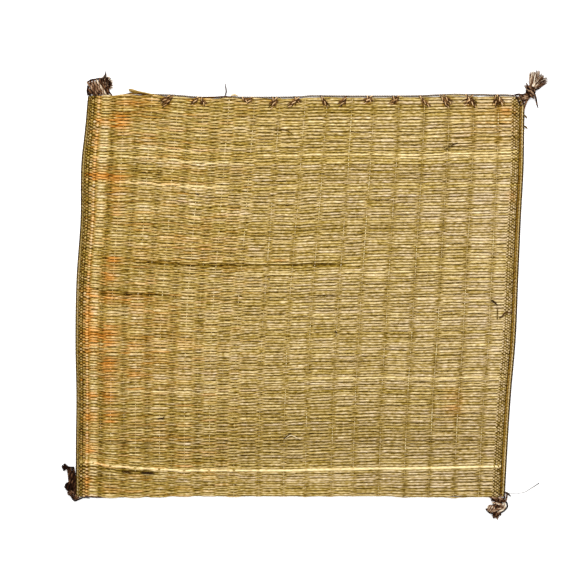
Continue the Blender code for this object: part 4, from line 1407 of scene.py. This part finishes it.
# %% [markdown]
# ## Loose stems, flecks and a hair
#
# A used mat sheds. A split stem lies along the top edge, others stick out or cross
# the weave, and a few dark flecks sit on it. Each is one short tube laid where it is
# seen, because chance would put them in other places. Two near-black tubes below the
# bright stem are painted shadow in the slits between stems there.

# %% Loose stems: paleness, rust, then points (across, height, level, radius)
LOOSE_GREY, LOOSE_STEP, THINNEST = 0.8, 1.2, 0.15
LOOSE_STEMS_AND_SLIT_SHADOWS = (
    (0.38, 0.1, (-248.4, 289.6, 2.2, 0.6), (-245.0, 289.4, 2.3, 1.6), (-237.4, 287.2, 2.4, 1.5),
     (-223.3, 284.4, 2.4, 1.1), (-208.0, 281.4, 2.4, 0.5)),
    (0.06, 0.2, (-256.0, 282.6, 2.2, 0.5), (-243.0, 284.2, 2.3, 1.1), (-228.0, 283.0, 2.8, 1.1),
     (-214.0, 281.0, 2.8, 0.5)),
    (0.30, 0.1, (-247.6, 288.0, 2.0, 0.5), (-242.0, 286.4, 2.1, 1.3), (-232.0, 284.6, 2.2, 1.0)),
    (-0.15, 0.1, (-111.3, 298.3, 2.4, 0.6), (-111.0, 293.0, 2.4, 1.0), (-110.4, 286.0, 2.6, 1.1),
     (-112.6, 279.6, 3.2, 0.7)),
    (0.5, 0.0, (192.0, 280.4, 2.0, 0.7), (204.0, 281.0, 2.1, 1.0), (218.0, 281.2, 2.1, 1.0),
     (236.0, 280.6, 2.0, 0.7)),
    (-0.2, 0.3, (-310.0, -283.6, 1.5, 1.0), (-295.2, -285.2, 1.4, 1.0), (-280.0, -285.8, 1.4, 0.5)),
    (0.0, 0.3, (-144.0, 278.6, 3.2, 0.5), (-128.0, 278.8, 3.4, 0.9), (-112.0, 279.6, 3.4, 0.9),
     (-98.0, 279.0, 3.0, 0.5)),
    (0.62, 0.0, (-104.0, 280.4, 3.0, 0.8), (-99.6, 282.0, 3.0, 1.7), (-94.0, 280.8, 3.0, 0.8)),
    (-0.10, 0.0, (-30.0, -203.2, 4.0, 0.5), (-26.0, -200.0, 4.4, 0.7), (-21.0, -195.9, 4.5, 0.6),
     (-18.6, -194.6, 4.3, 0.4)),
    (0.80, 0.0, (-28.0, -202.6, 3.9, 0.4), (-19.0, -197.6, 4.2, 0.7), (-12.0, -200.4, 4.2, 0.6),
     (-5.0, -203.2, 4.0, 0.4)),
    (-0.3, 0.0, (-206.6, -174.8, 3.8, 0.6), (-202.0, -173.4, 4.2, 0.9), (-199.0, -173.8, 4.3, 0.7),
     (-197.8, -171.0, 4.0, 0.6)),
    # these two near-black tubes are painted shadow: they lie in the dark slits between stems below the
    # bright stem
    (-0.3, 0.2, (-257.4, -248.8, 3.8, 0.4), (-250.0, -249.4, 4.1, 0.9), (-242.2, -250.6, 3.8, 0.4)),
    (-0.5, 0.0, (-230.0, -250.2, 3.8, 0.6), (-221.0, -250.8, 4.1, 1.2), (-210.6, -252.0, 3.8, 0.4)),
    (-0.3, 0.0, (-51.6, 23.1, 3.8, 0.7), (-49.2, 22.6, 4.0, 0.8)),
    (-0.4, 0.0, (43.0, -50.4, 4.0, 0.6), (45.4, -53.6, 4.0, 1.0)),
    (-0.35, 0.0, (-153.6, 142.6, 3.8, 0.7), (-148.6, 141.6, 4.0, 0.8)),
    (0.12, 0.1, (-52.0, 233.0, 3.8, 0.4), (-32.0, 233.2, 4.1, 0.6), (-23.0, 231.0, 4.2, 0.6),
     (-17.0, 226.4, 4.0, 0.4)),
    (0.05, 0.0, (197.0, 204.6, 4.0, 0.4), (205.0, 208.6, 4.3, 0.6), (210.6, 212.6, 4.4, 0.8),
     (216.0, 214.4, 4.0, 0.4)),
    (0.10, 0.0, (194.0, 206.4, 4.0, 0.3), (203.0, 210.6, 4.2, 0.5), (209.0, 215.0, 4.0, 0.3)),
    (-0.4, 0.0, (262.6, -7.0, 4.0, 0.8), (266.0, -8.8, 4.4, 1.2), (271.6, -14.4, 4.2, 0.6)),
    (0.12, 0.0, (271.8, -18.0, 4.0, 0.6), (271.6, -26.0, 4.2, 0.9), (271.4, -34.4, 4.0, 0.7)),
    (-0.3, 0.5, (274.2, -32.6, 4.0, 0.7), (278.6, -29.4, 4.4, 0.9), (282.0, -25.6, 4.2, 0.8),
     (292.0, -24.6, 4.0, 0.6)),
    (0.10, 0.0, (308.6, 254.0, 2.4, 0.6), (312.2, 251.4, 2.6, 1.2), (313.8, 249.0, 2.0, 0.5)),
    (0.12, 0.0, (307.6, 239.0, 2.4, 0.6), (312.6, 236.2, 2.6, 1.3), (314.4, 234.2, 2.0, 0.5)),
    (-0.05, 0.0, (281.0, -277.6, 2.6, 0.9), (286.4, -279.8, 2.4, 1.6), (291.0, -284.0, 1.6, 0.5)),
)
HAIR = (
    (286.0, -279.4, 2.0, 0.32), (303.6, -279.7, 1.2, 0.32), (312.0, -277.4, 1.0, 0.38),
    (320.5, -272.0, 0.9, 0.44), (327.0, -268.0, 0.8, 0.5), (331.4, -265.2, 0.8, 0.62),
)

# %% Lay the loose stems and the hair
loose = Bundle()
for pale, rust, *points in (*LOOSE_STEMS_AND_SLIT_SHADOWS, (0.0, 0.0, *HAIR)):
    line = smooth_path(points, LOOSE_STEP)
    thin = np.maximum(line[:, 3], THINNEST)
    high = np.minimum(thin, line[:, 2] - OVER_FLOOR)
    loose.add(line[:, :3], thin, high, 6, pale=pale, grey=LOOSE_GREY, rust=rust)
loose_stems_and_slit_shadows = loose.build("loose_stems_and_slit_shadows", grass)
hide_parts("mat")

# %% [markdown]
# ## The sheet, the floor, the light and the camera
#
# The mat is photographed from straight above on white, with soft light that leaves
# almost no shadow. A large pale floor just under the mat, three wide lamps and an
# even sky give that, with the strongest lamp beyond the top edge. A single small lamp
# would draw hard shadows. The camera looks straight down at the mat's middle.

# %% Floor
FLOOR_DEPTH, FLOOR_SIZE, FLOOR_GLOW = 0.0004, 8.0, 0.25
FLOOR_STOPS = ((0.0, (0.93, 0.93, 0.93)), (1.0, (0.97, 0.97, 0.97)))
WHITE = (1.0, 1.0, 1.0, 1.0)
bpy.ops.mesh.primitive_plane_add(size=FLOOR_SIZE, location=(0.0, 0.0, -FLOOR_DEPTH))
floor = bpy.context.object
floor.name = "floor"
paint = Recipe("white_floor", roughness=0.9, specular=0.1)
grain = paint.noise(40.0, (1, 1, 1), 2.0)
paint.shader.inputs["Emission Color"].default_value = WHITE
paint.shader.inputs["Emission Strength"].default_value = FLOOR_GLOW
floor.data.materials.append(paint.finish(paint.ramp(grain, FLOOR_STOPS), grain, 0.0001, 0.05))
print("floor of", FLOOR_SIZE, "m")

# %% Lamps
LAMPS = (
    # place, size, watts
    ((-0.2, 1.3, 1.5), 1.0, 38.0),
    ((1.3, -0.5, 1.8), 1.4, 18.0),
    ((-1.3, -0.5, 1.7), 1.4, 10.0),
)
for number, (place, size, watts) in enumerate(LAMPS):
    data = bpy.data.lights.new(f"lamp_{number}", "AREA")
    data.size, data.energy = size, watts
    lamp = bpy.data.objects.new(f"lamp_{number}", data)
    lamp.location = place
    lamp.rotation_mode = "QUATERNION"
    lamp.rotation_quaternion = (-Vector(place)).to_track_quat("-Z", "Y")
    bpy.context.scene.collection.objects.link(lamp)
print(len(LAMPS), "lamps")

# %% Sky and camera
SKY_STRENGTH = 0.5
world = bpy.data.worlds.new("studio")
world.use_nodes = True
world.node_tree.nodes["Background"].inputs["Color"].default_value = WHITE
world.node_tree.nodes["Background"].inputs["Strength"].default_value = SKY_STRENGTH
bpy.context.scene.world = world

MIDDLE = (-28.2 * MM, 14.8 * MM)
CAMERA_HIGH, FACE_HIGH = 1.893, 3.0 * MM
LENS, SENSOR = 85.0, 36.0
camera_data = bpy.data.cameras.new("camera")
camera_data.lens, camera_data.sensor_width = LENS, SENSOR
camera = bpy.data.objects.new("camera", camera_data)
camera.location = (*MIDDLE, CAMERA_HIGH + FACE_HIGH)
bpy.context.scene.collection.objects.link(camera)
bpy.context.scene.camera = camera
bpy.context.scene.view_settings.view_transform = "Standard"
print("camera", CAMERA_HIGH, "m above the mat's face")
